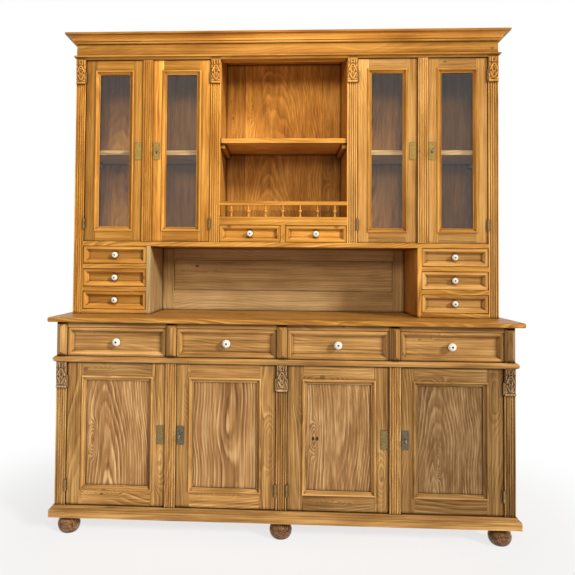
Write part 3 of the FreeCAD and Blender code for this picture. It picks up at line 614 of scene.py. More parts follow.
def give_grain(piece, finish, finishes=None, piths=None, tones=None, knots=None, shades=None, upright=(),
               fluted=(), figure=(1.0, 0.5), chance=0.2):
    """Writes the attributes that the pine reads. Figure is how bold wide and narrow boards are."""
    by_number = (finishes, piths, tones, knots, shades)
    finishes, piths, tones, knots, shades = (given or {} for given in by_number)
    mesh = piece.data
    points = values(mesh.vertices, "co", 3) / MM
    boards = values(mesh.attributes["board"].data, "value", kind=np.int64)
    totals = values(mesh.polygons, "loop_total", kind=np.int64)
    owner = np.full(len(points), -1)
    owner[values(mesh.loops, "vertex_index", kind=np.int64)] = np.repeat(boards, totals)
    grain, tone, knot = np.zeros((3, len(points), 3))
    wax = np.zeros(len(points))
    looks, faces = [finish], np.zeros(len(boards), np.int64)
    for number in np.unique(owner).tolist():
        draw = random.Random(f"{piece.name} board {number}")
        mine = owner == number
        low, high = points[mine].min(0), points[mine].max(0)
        middle, size = (low + high) / 2, high - low
        shortest, between, longest = np.argsort(size, kind="stable")
        if number in upright:
            between, longest = longest, 2
        aside, behind, start, lean = piths.get(number, chance_pith(draw, size[between]))
        origin = (low[longest] - start, middle[between] + aside, middle[shortest] + behind)
        grain[mine] = points[mine][:, (longest, between, shortest)] - origin
        grain[mine, 2] -= lean * (points[mine, longest] - (low if lean > 0 else high)[longest])
        spot, branch = chance_knot(draw, low, high, chance)
        branch = knots.get(number, branch)
        knot[mine], darkness = NO_KNOT, 0.0
        if branch:
            spot[0], spot[2], across, darkness = branch
            knot[mine] = (spot[longest] - origin[0], spot[between] - origin[1], across)
        boldness = figure[0 if size[between] > WIDE_BOARD else 1]
        tone[mine] = (draw.uniform(TONE_LOW, TONE_HIGH) * tones.get(number, 1.0), darkness, boldness)
        # Lighter towards the bottom of a flute, against the painted shade there.
        if number in fluted:
            wax[mine] = -np.clip((points[mine, 1] - low[1]) / FLUTE_DEPTH, 0, 1) * FLUTE_SHADE_LIFT
        # Painted shade given by height, as under the cornice mouldings.
        if number in shades:
            wax[mine] = np.interp(points[mine, 2], *zip(*shades[number]))
        look = finishes.get(number, finish)
        if look not in looks:
            looks.append(look)
        faces[boards == number] = looks.index(look)
    for name, vectors in (("grain", grain), ("board_tone", tone), ("knot", knot)):
        mesh.attributes.new(name, "FLOAT_VECTOR", "POINT").data.foreach_set("vector", vectors.ravel())
    if "wax" not in mesh.attributes:
        mesh.attributes.new("wax", "FLOAT", "POINT").data.foreach_set("value", wax)
    for look in looks:
        mesh.materials.append(look)
    mesh.polygons.foreach_set("material_index", faces)
    mesh.update()


print("flutes are wiped by", FLUTE_SHADE_LIFT)

# %% [markdown]
# Each copy is made in one go: a mesh of the boards that are kept, dissolved, eased, given its grain, and
# set to ride on the node's body in the node's place. The number of the board is kept on every face for all
# these steps.

# %% Dress a node's boards
SMOOTH_ANGLE, FLAT_ANGLE = math.radians(20), math.radians(0.6)


def pick(piece):
    """Selects one piece alone and makes it active."""
    bpy.ops.object.select_all(action="DESELECT")
    piece.select_set(True)
    bpy.context.view_layer.objects.active = piece


def number_boards(mesh, numbers):
    """Writes the number of its board on each face."""
    mesh.attributes.new("board", "INT", "FACE").data.foreach_set("value", numbers)


def settle(piece, body, nodes):
    """Shades a finished piece, sets it on its body, and hides the nodes it stands for."""
    pick(piece)
    bpy.ops.object.shade_smooth_by_angle(angle=SMOOTH_ANGLE)
    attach(piece, body)
    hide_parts(*nodes)
    return piece


def dressed(node, slot, finish, skip=(), edge=1.0, **looks):
    """A copy of a node's boards, apart from those in skip, with eased edges and grain on each board."""
    points, solids = closed_solids(node)
    verts, faces, owner = [], [], []
    for number, triangles in enumerate(solids):
        places = {}
        for triangle in triangles if number not in skip else ():
            for corner in triangle:
                if corner not in places:
                    places[corner] = len(verts)
                    verts.append(points[corner])
            faces.append([places[corner] for corner in triangle])
            owner.append(number)
    mesh = bpy.data.meshes.new(node + "_boards")
    mesh.from_pydata(verts, [], faces)
    number_boards(mesh, owner)
    piece = bpy.data.objects.new(node + "_boards", mesh)
    bpy.context.scene.collection.objects.link(piece)
    pick(piece)
    bpy.ops.object.mode_set(mode="EDIT")
    bpy.ops.mesh.select_all(action="SELECT")
    bpy.ops.mesh.dissolve_limited(angle_limit=FLAT_ANGLE)
    bpy.ops.object.mode_set(mode="OBJECT")
    if edge:
        ease(piece, edge)
    give_grain(piece, finish, **looks)
    return settle(piece, frame["nodes"][node]["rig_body"], [node])


print("boards are ready to be dressed")

# %% [markdown]
# ## Metal, porcelain and glass
# The plates and hinges are cast and rolled brass that has gone dull, darker on the base where it is touched
# more. The keys are forged steel, dark and worn. Old metal could be one colour with scratches, but what
# shows at this distance is the patina, in spots and in the hollows, and what hands polish in between.

# %% Metals
METAL_HOLLOW = 0.004
# What patina the hollows and the spots have at most, and how much duller it is than bare metal.
HOLLOW_PATINA, SPOT_PATINA, DULLER = 0.55, 0.8, 0.25


def aged_metal(name, bright, dull, rough, spot_mm):
    """Old metal: polished where it stands out, with a dull patina in spots of a given size and in hollows."""
    made, tree = material(name)
    place = add(tree, "TexCoord").outputs["Object"]
    scale = 1 / (spot_mm * MM)
    spots = add(tree, "TexNoise", {"Vector": place, "Scale": scale, "Detail": 4.0, "Roughness": 0.6})
    hollow = add(tree, "AmbientOcclusion", {"Distance": METAL_HOLLOW}, samples=OCCLUSION_SAMPLES)
    deep = add(tree, "MapRange", hollow.outputs["AO"], 0.4, 0.95, HOLLOW_PATINA, 0.0)
    patina = add(tree, "MapRange", spots, 0.35, 0.7, 0.0, SPOT_PATINA)
    share = add(tree, "Math", patina, deep, operation="ADD", use_clamp=True)
    colour = add(tree, "Mix", {"Factor": share, 6: linear(bright), 7: linear(dull)}, data_type="RGBA")
    matt = add(tree, "MapRange", share, 0.0, 1.0, rough, rough + DULLER)
    skin = add(tree, "BsdfPrincipled", {"Base Color": colour.outputs[2], "Metallic": 1.0, "Roughness": matt})
    add(tree, "OutputMaterial", skin)
    return made


# Cast brass: yellow and soft-edged on the hutch, tarnished brown on the base, nearly black around its keys.
gold_brass = aged_metal("aged_cast_brass", "#d8b062", "#7a5e30", 0.34, 4.0)
dark_brass = aged_metal("tarnished_cast_brass", "#a88f62", "#64512f", 0.38, 4.0)
black_brass = aged_metal("blackened_cast_brass", "#8d7f68", "#38322a", 0.34, 4.0)
# Rolled brass of the hinges: the dullest, because nobody polishes it.
hinge_brass = aged_metal("dull_rolled_brass", "#b39362", "#7a6140", 0.45, 6.0)
# Forged steel of keys and bolts: bright where a hand holds it, dark in between.
key_steel = aged_metal("worn_forged_steel", "#c4bfb8", "#4a4643", 0.24, 5.0)
# Blued steel of the screws in the knobs: a small dark dot with a blue cast.
screw_steel = aged_metal("blued_steel_screw", "#4a4e5a", "#23252b", 0.35, 3.0)
# Iron of the lock cases and the keyhole inlays: nearly black, as painted shade behind the keyholes.
lock_painted_shade = aged_metal("unlit_iron_lock_case", "#3a352f", "#1d1a17", 0.55, 5.0)
for made in (gold_brass, dark_brass, black_brass, hinge_brass, key_steel, screw_steel, lock_painted_shade):
    print(made.name, len(made.node_tree.nodes), "nodes")

# %% [markdown]
# The knobs are white glazed porcelain, which has a sharp highlight under a clear glaze. The panes are old
# sheet glass, a little wavy. They are flat and right as the CAD has them, so those nodes stay and get their
# material.

# %% Porcelain and glass
GLAZE_CLOUD, GLASS_WAVE = 12 * MM, 90 * MM
PORCELAIN_IOR, GLASS_IOR = 1.52, 1.46

# Glazed porcelain: glaze pools unevenly, so it has faint warm clouds about 12 mm across.
porcelain, tree = material("glazed_white_porcelain")
place = add(tree, "TexCoord").outputs["Object"]
cloud = add(tree, "TexNoise", {"Vector": place, "Scale": 1 / GLAZE_CLOUD, "Detail": 2.0})
tint = add(tree, "Mix", {"Factor": cloud, 6: linear("#f4f2ee"), 7: linear("#e4dfd4")}, data_type="RGBA")
add(tree, "OutputMaterial", add(tree, "BsdfPrincipled", {
    "Base Color": tint.outputs[2], "Roughness": 0.10, "IOR": PORCELAIN_IOR, "Coat Weight": 0.5,
    "Coat Roughness": 0.04}))

# Drawn sheet glass: clear, smooth, with slow waves about 90 mm long that bend what shows through it.
clear_glass, tree = material("old_sheet_glass")
place = add(tree, "TexCoord").outputs["Object"]
waves = add(tree, "TexNoise", {"Vector": place, "Scale": 1 / GLASS_WAVE, "Detail": 1.0})
bump = add(tree, "Bump", {"Height": waves, "Strength": 0.08, "Distance": 0.002})
add(tree, "OutputMaterial", add(tree, "BsdfPrincipled", {
    "Base Color": linear("#f2f0ea"), "Roughness": 0.02, "IOR": GLASS_IOR, "Transmission Weight": 1.0,
    "Normal": bump}))

panes = [node for name, node in frame["nodes"].items() if name.endswith("_glass")]
for pane in panes:
    # Thin panes let the lamps through, so they cast no shadow.
    pane.visible_shadow = False
    pane.data.materials.clear()
    pane.data.materials.append(clear_glass)
print(len(panes), "panes are glazed")

# %% [markdown]
# ## All the wooden pieces
# Base and hutch have their own tone, as in the photograph: browner below and more golden above. Solids that
# are carved, turned or cast are skipped here, because later cells model them in full, and hinge halves on
# the doors get their brass. The frame of the base comes first: plinth, carcass, string course, worktop and
# posts.

# %% Dress the frame of the base
# Numbers of the boards in a door: the base doors, then the hutch doors. Doors 2 and 4 have a fluted strip
# where 1 and 3 have a blind plate. The sticks are the bottom, right, top and left one of a moulding: the
# lower and left ones are painted lighter, as painted light on their slopes.
BOTTOM_RAIL, TOP_RAIL, PANEL, LEFT_STILE, RIGHT_STILE, BASE_PLATE = 0, 1, 6, 7, 8, 9
HUTCH_LEFT_STILE, HUTCH_RIGHT_STILE, HUTCH_PLATE = 6, 7, 8
BASE_HINGES, HUTCH_HINGES = dict.fromkeys((10, 11), hinge_brass), dict.fromkeys((9, 10), hinge_brass)
STICK_PAINTED_LIGHT = (1.18, 1.0, 1.05, 1.15)
MOULDING = {2 + side: tone for side, tone in enumerate(STICK_PAINTED_LIGHT)}
FRONT, DRAWER_FRAME = 0, {5 + side: tone for side, tone in enumerate(STICK_PAINTED_LIGHT)}
# Figure of wide and narrow boards: bolder in the base doors, quiet in the hutch and faint in its back.
DOOR_FIGURE, QUIET, FAINT = (1.0, 0.75), (0.8, 0.35), (0.55, 0.4)

# Blocks 6 and 7 of the string course are its two right ones, darker as painted shade, and so is the right
# post 4 of the base pilasters. In the pilasters the even solids are the fluted posts, and the odd ones are
# their capitals.
for node, tones in (("plinth", {}), ("base_carcass", {}), ("string_course", {6: 0.9, 7: 0.65})):
    dressed(node, "brown_pine", brown_pine, tones=tones)
dressed("worktop", "brown_pine", golden_pine, tones={0: 0.76})
dressed("base_pilasters", "brown_pine", brown_pine, skip=(1, 3, 5), fluted=(0, 2, 4),
        tones={0: 1.15, 2: 1.1, 4: 0.85})
print("frame of the base: 5 pieces")

# %% [markdown]
# No two boards of the doors were cut from the same plank, so each has its tone. The larger knots stand
# where the photograph shows them. The four big panels have their piths listed, so that the flames stand
# there too: chance would give a fine panel, but not these.

# %% Dress the doors and the large drawers
# Pith of each panel: how far aside and behind the face, where the board starts in the log, and its lean.
PANEL_PITHS = {1: (-35, 28, 400.0, 0.05), 2: (25, 60, 2300.0, -0.02),
               3: (-15, 18, 5200.0, -0.08), 4: (-55, 12, 7100.0, 0.11)}
# Tones of each base door: bottom rail, top rail, panel, moulding and stiles. Doors 3 and 4 on the right are
# darker, as painted shade.
BASE_TONES = {1: (1.0, 0.72, 1.0, 1.05, 0.95), 2: (1.1, 1.08, 0.96, 1.05, 0.93),
              3: (0.71, 0.9, 0.92, 0.95, 0.8), 4: (0.66, 0.69, 0.6, 0.72, 0.6)}
# Knots by board: x and z in millimetres, size and darkness.
DOOR_KNOTS = {1: {BOTTOM_RAIL: (-736, 175, 6, 0.7), PANEL: (-776, 393, 6, 0.3),
                  RIGHT_STILE: (-500, 304, 9, 0.4)},
              2: {LEFT_STILE: (-392, 622, 10, 0.2), RIGHT_STILE: (-41, 400, 10, 0.0)},
              3: {BOTTOM_RAIL: (208, 172, 6, 0.3), PANEL: (137, 416, 6, 2.0),
                  LEFT_STILE: (70, 650, 11, 0.0), RIGHT_STILE: (408, 263, 9, 0.3)},
              4: {RIGHT_STILE: (862, 590, 11, 0.0), PANEL: (630, 330, 5, 0.0)}}
# Each glazed door: its wood, and the tones of its rails, beads, left stile and right stile.
GLAZED = {1: (golden_pine, 0.85, 1.0, 0.63, 0.82), 2: (golden_pine, 0.85, 1.0, 1.5, 1.15),
          3: (faded_pine, 0.68, 0.88, 1.05, 0.85), 4: (faded_pine, 0.68, 0.88, 0.92, 0.87)}
LARGE_FRONT, BASE_STRIP, HUTCH_STRIP = 0.95, 1.35, 1.25

for n in (1, 2, 3, 4):
    dressed(f"base_drawer_{n}", "brown_pine", brown_pine, tones={FRONT: LARGE_FRONT, **DRAWER_FRAME})
    lower, upper, panel, moulding, stile = BASE_TONES[n]
    skip, fluted = ((BASE_PLATE,), ()) if n % 2 else ((), (BASE_PLATE,))
    dressed(f"base_door_{n}", "brown_pine", brown_pine, skip=skip, fluted=fluted, knots=DOOR_KNOTS[n],
            finishes={PANEL: panel_pine, **BASE_HINGES}, piths={PANEL: PANEL_PITHS[n]}, figure=DOOR_FIGURE,
            tones={BOTTOM_RAIL: lower, TOP_RAIL: upper, PANEL: panel, LEFT_STILE: stile, RIGHT_STILE: stile,
                   BASE_PLATE: BASE_STRIP, **{stick: moulding * tone for stick, tone in MOULDING.items()}})
    wood, rail, bead, left_stile, right_stile = GLAZED[n]
    skip, fluted = ((HUTCH_PLATE,), ()) if n % 2 else ((), (HUTCH_PLATE,))
    dressed(f"hutch_door_{n}", "golden_pine", wood, skip=skip, fluted=fluted, figure=QUIET,
            finishes={**dict.fromkeys(MOULDING, golden_pine), **HUTCH_HINGES},
            tones={BOTTOM_RAIL: rail, TOP_RAIL: rail, HUTCH_LEFT_STILE: left_stile,
                   HUTCH_RIGHT_STILE: right_stile, HUTCH_PLATE: HUTCH_STRIP,
                   **{stick: bead * tone for stick, tone in MOULDING.items()}})
print("8 doors and 4 large drawers")

# %% [markdown]
# The middle drawers of the hutch are painted lighter and the side ones darker, as painted light, and the
# hutch has faded on the right. Under each moulding of its cornice, painted shade is given by height, because
# the corners there are too open for the occlusion to find.

# %% Dress the hutch
# Painted shade under the cornice mouldings: heights in millimetres, and how much darker they are there.
NECKING_PAINTED_SHADE = ((2028, 0.5), (2036, 0.35), (2046, 0.1), (2050, 0.0))
CROWN_PAINTED_SHADE = ((2098, 0.3), (2107, 0.3), (2108, 0.45), (2109, 0.15), (2116, 0.0), (2128, 0.0), (2131, 0.35),
             (2140, 0.45))
CORNICE_KNOTS = {0: (900, 2067, 6, 0.6)}
# A nail hole in the long board of the hutch floor looks like a small dark knot.
NAIL_HOLE = {6: (-103, 1208, 3, 1.0)}
TOWER_WALLS, SIDE_SHELVES, GREYED = (4, 5), {21: 1.25, 24: 1.25}, (5, 21, 24)
# In the back, 6 to 10 are the boards of the hutch from left to right, and 11 to 15 frame and fill the niche.
BACK_KNOTS = {7: (-246, 1835, 6, 0.5), 8: (-150, 1940, 9, 0.0), 9: (230, 1450, 10, 0.0),
              15: (-414, 1111, 8, 0.7)}
NICHE = range(11, 16)
# Painted shade: boards 6 to 10 are darker behind the glass, most on the right.
BACK_TONES = {6: 0.75, 7: 0.66, 8: 0.85, 9: 0.66, 10: 0.45, **dict.fromkeys(NICHE, 1.1)}
# Painted light: the centre drawer fronts are lighter and the side ones darker.
CENTRE_FRONT, SIDE_FRONT = 1.4, 0.7
# In the cornice, 0 is the frieze, 2 the front necking, and 4 to 6 are the right, front and left crown. The
# crown is painted lighter, most on the front, as painted light.
CORNICE_TONES = {0: 0.82, 4: 1.1, 5: 1.3, 6: 1.1}
DRAWERS = [f"{side}_drawer_{n}" for side in ("left", "right") for n in (1, 2, 3)]
DRAWERS += ["centre_drawer_left", "centre_drawer_right"]

for node in DRAWERS:
    wood = faded_pine if node.startswith("right") else golden_pine
    front = CENTRE_FRONT if node.startswith("centre") else SIDE_FRONT
    dressed(node, "golden_pine", wood, tones={FRONT: front, **DRAWER_FRAME}, figure=QUIET)
dressed("hutch_carcass", "golden_pine", golden_pine, upright=TOWER_WALLS, knots=NAIL_HOLE, figure=QUIET,
        finishes=dict.fromkeys(GREYED, grey_pine), tones=SIDE_SHELVES)
dressed("back_panels", "golden_pine", back_pine, finishes=dict.fromkeys(NICHE, grey_pine), knots=BACK_KNOTS,
        tones=BACK_TONES, figure=FAINT)
dressed("cornice", "golden_pine", golden_pine, knots=CORNICE_KNOTS, tones=CORNICE_TONES, figure=QUIET,
        shades={2: NECKING_PAINTED_SHADE, 5: CROWN_PAINTED_SHADE})
dressed("hutch_pilasters", "golden_pine", golden_pine, skip=(1, 3, 5, 7), fluted=(0, 2, 4, 6),
        tones={0: 1.35, 2: 1.4, 4: 1.15, 6: 1.45}, finishes={4: faded_pine, 6: faded_pine}, figure=QUIET)
dressed("gallery", "golden_pine", golden_pine, skip=range(7), tones={7: 1.15}, figure=QUIET)
print(len(DRAWERS), "small drawers and the frame of the hutch")

# %% [markdown]
# Hinges, lock cases and bolts are metal, and their CAD shapes only need a patina, with eased edges on the
# lock cases and bolts. The key plate of each lock is its solid 1, which is cast later.

# %% Dress the hinges and locks
FINE_EDGE = 0.6

dressed("hinge_pins", "brass", hinge_brass, edge=0)
for n in (2, 4):
    for stage in ("base", "hutch"):
        dressed(f"{stage}_door_{n}_lock", "brass", lock_painted_shade, skip=(1,), edge=FINE_EDGE)
        dressed(f"{stage}_door_{n}_bolt", "steel", key_steel, edge=FINE_EDGE)

# %% [markdown]
# ## Turned pieces
# Feet, knobs and balusters were turned on a lathe. A lathe shape can be spun from a profile, or grown ring
# by ring: a filled circle is extruded upwards and scaled at each step. Growing it keeps both ends closed
# and needs no seam to be merged, so that way is used.

# %% Grow a turned shape
def started(primitive, name, place=(0, 0, 0), scale=(1, 1, 1), **settings):
    """A primitive to start from, alone in the selection, with place, turn and scale applied to its mesh."""
    bpy.ops.object.select_all(action="DESELECT")
    primitive(**settings)
    piece = bpy.context.object
    piece.name, piece.location, piece.scale = name, place, scale
    bpy.ops.object.transform_apply(location=True, rotation=True, scale=True)
    return piece


def turned(name, profile, sides):
    """A turned solid on the Z axis. The profile is (radius, height) from the bottom up, in millimetres."""
    radius, height = profile[0]
    piece = started(bpy.ops.mesh.primitive_circle_add, name, place=(0, 0, height * MM), vertices=sides,
                    radius=radius * MM, fill_type="NGON")
    bpy.ops.object.mode_set(mode="EDIT")
    bpy.ops.mesh.select_all(action="SELECT")
    for wider, higher in profile[1:]:
        bpy.ops.mesh.extrude_region_move(TRANSFORM_OT_translate={"value": (0, 0, (higher - height) * MM)})
        share = wider / radius
        bpy.ops.transform.resize(value=(share, share, 1), center_override=(0, 0, higher * MM))
        radius, height = wider, higher
    bpy.ops.mesh.select_all(action="SELECT")
    bpy.ops.mesh.normals_make_consistent(inside=False)
    bpy.ops.object.mode_set(mode="OBJECT")
    return piece


def copied(pattern, name, move):
    """A copy of a modelled piece with its own mesh, moved in its mesh by a matrix."""
    piece = bpy.data.objects.new(name, pattern.data.copy())
    piece.data.transform(move)
    bpy.context.scene.collection.objects.link(piece)
    return piece


def joined(pieces, name):
    """Several pieces as one object."""
    pick(pieces[0])
    for piece in pieces:
        piece.select_set(True)
    bpy.ops.object.join()
    pieces[0].name = name
    return pieces[0]


def remove(pieces):
    """Takes patterns and cutters away when their work is done."""
    for piece in pieces:
        bpy.data.objects.remove(piece)


print("the lathe is ready")

# %% [markdown]
# ## Bun feet
# Six dark turned feet carry the cupboard: a bun with two scribed lines, a hollow neck and a collar under
# the plinth. One is grown, and its copies stand on the places of the CAD feet, each turned differently.

# %% Bun feet
FOOT = [(3, 0), (25, 0), (28, 0.8), (33, 4), (38.5, 10), (42.8, 17.5), (45.3, 26), (46, 33.5), (45.7, 38.2),
        (44.5, 39), (45.4, 39.8), (44.7, 43), (43.4, 43.8), (44.1, 44.6), (42.6, 50), (39.3, 56), (35, 61),
        (30.8, 65), (28.6, 66.6), (27.2, 68.5), (26.8, 70.2), (27.4, 72), (29.5, 73.4), (32.4, 74),
        (33.1, 75.2), (33.1, 82), (3, 82)]
FOOT_SIDES, FOOT_COUNT, FOOT_TURN = 48, 6, 1.1
# The pith runs through a foot, a little off its middle, and each foot is from further along the log.
FOOT_ASIDE, FOOT_BEHIND, FOOT_STEP = 14, 9, 900.0

foot = turned("foot_pattern", FOOT, FOOT_SIDES)
feet = []
for number in range(FOOT_COUNT):
    low, high = solid_box("bun_feet", number)
    middle = (low + high) / 2 * MM
    stand = Matrix.Translation((middle[0], middle[1], 0)) @ Matrix.Rotation(FOOT_TURN * number, 4, "Z")
    feet.append(copied(foot, f"foot_{number}", stand))
    number_boards(feet[-1].data, [number] * len(foot.data.polygons))
remove([foot])
feet = joined(feet, "turned_bun_feet")
foot_piths = {n: (FOOT_ASIDE, FOOT_BEHIND, FOOT_STEP * n, 0.0) for n in range(FOOT_COUNT)}
give_grain(feet, dark_pine, piths=foot_piths, chance=0.0)
settle(feet, "carcass", ["bun_feet"])
print("feet", len(feet.data.polygons), "faces")

# %% [markdown]
# ## Porcelain knobs
# A knob has a collar on the drawer front, a thin neck, a round head and a dimple with the head of its
# screw. The large pattern serves the base drawers, and a smaller one the eight small drawers. The spigot
# that goes through the drawer front is part of the same turning, and is the same in both.

# %% Knobs
KNOB = [(0.6, -20), (3, -20), (3, 0), (8.5, 0), (8.8, 0.8), (8.5, 2.4), (6.8, 4.4), (6.1, 6.4), (6.6, 8.6),
        (9.6, 10.4), (13, 13), (15.6, 16.1), (16.9, 19.6), (16.9, 22.4), (15.7, 25.9), (13.2, 28.9),
        (9.8, 30.9), (6.2, 31.8), (5.0, 32), (4.4, 31.6), (4.2, 30.7), (0.4, 30.9)]
KNOB_SIDES, SPIGOT = 40, 3
LARGE_DEEP, SMALL_DEEP, SMALLER = 32, 25, 27 / 34
# The screw's head: faces within this depth of the knob's tip and this far from its middle.
SCREW_DEEP, SCREW_RADIUS = 1.4 * MM, 3.6 * MM

# A turned piece stands upright, and this turn lays it down to face forward.
FACE_FORWARD = Matrix.Rotation(math.pi / 2, 4, "X")

small_knob = [(r, h) if h <= 0 and r <= SPIGOT else (r * SMALLER, h * SMALL_DEEP / LARGE_DEEP)
              for r, h in KNOB]
patterns = {"large": turned("large_knob", KNOB, KNOB_SIDES),
            "small": turned("small_knob", small_knob, KNOB_SIDES)}
for pattern in patterns.values():
    pattern.data.materials.append(porcelain)
    pattern.data.materials.append(screw_steel)
    tip = max(v.co.z for v in pattern.data.vertices)
    for face in pattern.data.polygons:
        across = math.hypot(face.center.x, face.center.y)
        face.material_index = int(face.center.z > tip - SCREW_DEEP and across < SCREW_RADIUS)
knobs = [name for name in frame["nodes"] if name.endswith("_knob")]
for name in knobs:
    low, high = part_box(name)
    size, deep = ("large", LARGE_DEEP) if name.startswith("base") else ("small", SMALL_DEEP)
    spot = Matrix.Translation(((low.x + high.x) / 2, low.y + deep * MM, (low.z + high.z) / 2))
    piece = copied(patterns[size], name + "_turned", spot @ FACE_FORWARD)
    settle(piece, frame["nodes"][name]["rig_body"], [name])
remove(patterns.values())
print(len(knobs), "knobs")

# %% [markdown]
# ## Gallery balusters
# Seven small balusters hold up the gallery rail: a square-looking foot and head, two slim necks and a bead
# in the middle. They are turned once and copied, as the feet are.

# %% Balusters
BALUSTER = [(0.8, 0), (6.6, 0), (6.7, 1), (6.2, 3.2), (4.6, 4.4), (3.2, 7.5), (2.7, 11.5), (3.1, 15.5),
            (3.8, 18.0), (5.2, 19.0), (4.0, 20.0), (4.8, 21.2), (6.4, 23.0), (7.2, 25.2), (7.2, 26.8),
            (6.4, 29.0), (4.8, 30.8), (4.0, 32.0), (5.2, 33.0), (3.8, 34.0), (3.1, 36.5), (2.7, 40.5),
            (3.4, 44.5), (5.2, 47.8), (6.8, 49.2), (7.0, 51), (6.8, 52), (0.8, 52)]
# The balusters are painted lighter, as painted light against the shaded back behind them.
BALUSTER_SIDES, BALUSTER_COUNT, BALUSTER_TONE = 24, 7, 1.3

baluster = turned("baluster_pattern", BALUSTER, BALUSTER_SIDES)
row = []
for number in range(BALUSTER_COUNT):
    low, high = solid_box("gallery", number)
    middle = (low + high) / 2 * MM
    spot = Matrix.Translation((middle[0], middle[1], low[2] * MM))
    row.append(copied(baluster, f"baluster_{number}", spot))
    number_boards(row[-1].data, [number] * len(baluster.data.polygons))
remove([baluster])
row = joined(row, "turned_balusters")
give_grain(row, golden_pine, chance=0.0, tones=dict.fromkeys(range(BALUSTER_COUNT), BALUSTER_TONE))
settle(row, "carcass", ["gallery"])
print("balusters", len(row.data.polygons), "faces")

# %% [markdown]
# ## Carved capitals
# Each fluted post ends in a carved leaf: a ring at the foot, blades that spread upwards, a pair that hangs
# down over them, upright ones under the moulding, and buds in between. Carving could be sculpted by hand,
# but a height written as a formula is the same on every post. This cell holds that formula, in millimetres.

# %% The height of the carving
CAPITAL_HEIGHT, CAPITAL_REACH = 108.0, 14.8
# Blades of the carved leaf, each with its twin on the other side: foot and tip (x, z), half width, height.
LEAVES = [((2.0, 17), (14.5, 42), 5.2, 6.4), ((3.0, 34), (7.0, 52), 4.0, 5.4),
          ((17.5, 22), (18.0, 36), 3.2, 4.2), ((3.0, 78), (15.5, 52), 5.4, 7.6),
          ((4.0, 62), (9.0, 50), 3.4, 5.6), ((17.0, 66), (17.5, 80), 3.6, 5.4),
          ((6.5, 84), (8.5, 104), 4.0, 6.6), ((15.5, 86), (17.0, 104), 3.8, 5.6)]
# Buds in the middle: height up the post, radius and height.
BUDS = [(24.0, 3.4, 4.6), (44.0, 3.6, 6.4), (66.0, 4.4, 7.2), (88.0, 4.0, 5.8), (100.0, 3.2, 5.0)]
# The ground stands out this far at its foot, and more by the lean at its head.
GROUND, LEAN = 2.6, 3.6
# The ring at the foot: its ground, height, middle, radius and top. Then the groove above it, and its top.
RING_GROUND, RING_HEIGHT, RING_MIDDLE, RING_RADIUS, RING_TOP = 3.0, 6.0, 4.8, 4.9, 9.7
GROOVE, GROOVE_TOP = 1.8, 13
# Veins on the leaves: height, spacing, slant, and how high a leaf is where they are fully cut.
VEIN, VEIN_SPACING, VEIN_SLANT, VEIN_FULL = 0.7, 7.0, 0.8, 4
# A blade is narrower at its ends than in its middle.
BLADE_END, BLADE_SWELL = 0.65, 0.35


def half_round(distance, radius):
    """The height of a half-round bead, from 0 to 1, at a distance from its middle."""
    return np.sqrt(np.clip(1 - (distance / radius) ** 2, 0, 1))


def blade(x, z, foot, tip, thick):
    """A half-round leaf blade between two points (x, z), on both sides of the middle."""
    side, up = tip[0] - foot[0], tip[1] - foot[1]
    share = np.clip(((np.abs(x) - foot[0]) * side + (z - foot[1]) * up) / (side * side + up * up), 0, 1)
    away = np.hypot(np.abs(x) - foot[0] - share * side, z - foot[1] - share * up)
    return half_round(away, thick * (BLADE_END + BLADE_SWELL * np.sin(np.pi * share)))


def carving(x, z):
    """How far the carving stands out, at x from the middle and z above its foot."""
    out = np.zeros_like(x)
    for foot, tip, thick, high in LEAVES:
        out = np.maximum(out, high * blade(x, z, foot, tip, thick))
    for middle, radius, high in BUDS:
        out = np.maximum(out, high * half_round(np.hypot(x, z - middle), radius))
    veins = VEIN * np.cos((np.abs(x) * VEIN_SLANT + z) * 2 * np.pi / VEIN_SPACING)
    leaf = GROUND + LEAN * z / CAPITAL_HEIGHT + out + veins * np.clip(out / VEIN_FULL, 0, 1)
    ring = RING_GROUND + RING_HEIGHT * half_round(z - RING_MIDDLE, RING_RADIUS)
    out = np.where(z < RING_TOP, ring, np.where(z < GROOVE_TOP, GROOVE, leaf))
    return np.minimum(out, CAPITAL_REACH)


print("a carved leaf has", 2 * len(LEAVES), "blades and", len(BUDS), "buds")

# %% [markdown]
# A fine grid is stood up, its points are pushed out to the height of the carving, and its rim is extruded
# back to the post. Where a hinge knuckle stands beside it, a cutter takes out the same notch as in the CAD.

# %% Carve one capital
CARVING_COLUMNS, CARVING_ROWS = 43, 108
# Painted shade with wax, and a painted highlight, by the carving's own relief: how far around it is compared,
# what depth counts as full, and its limits.
AROUND, CARVING_DEPTH, CARVING_HIGHLIGHT, CARVING_SHADE_MOST = 4, 3.0, -0.15, 0.36


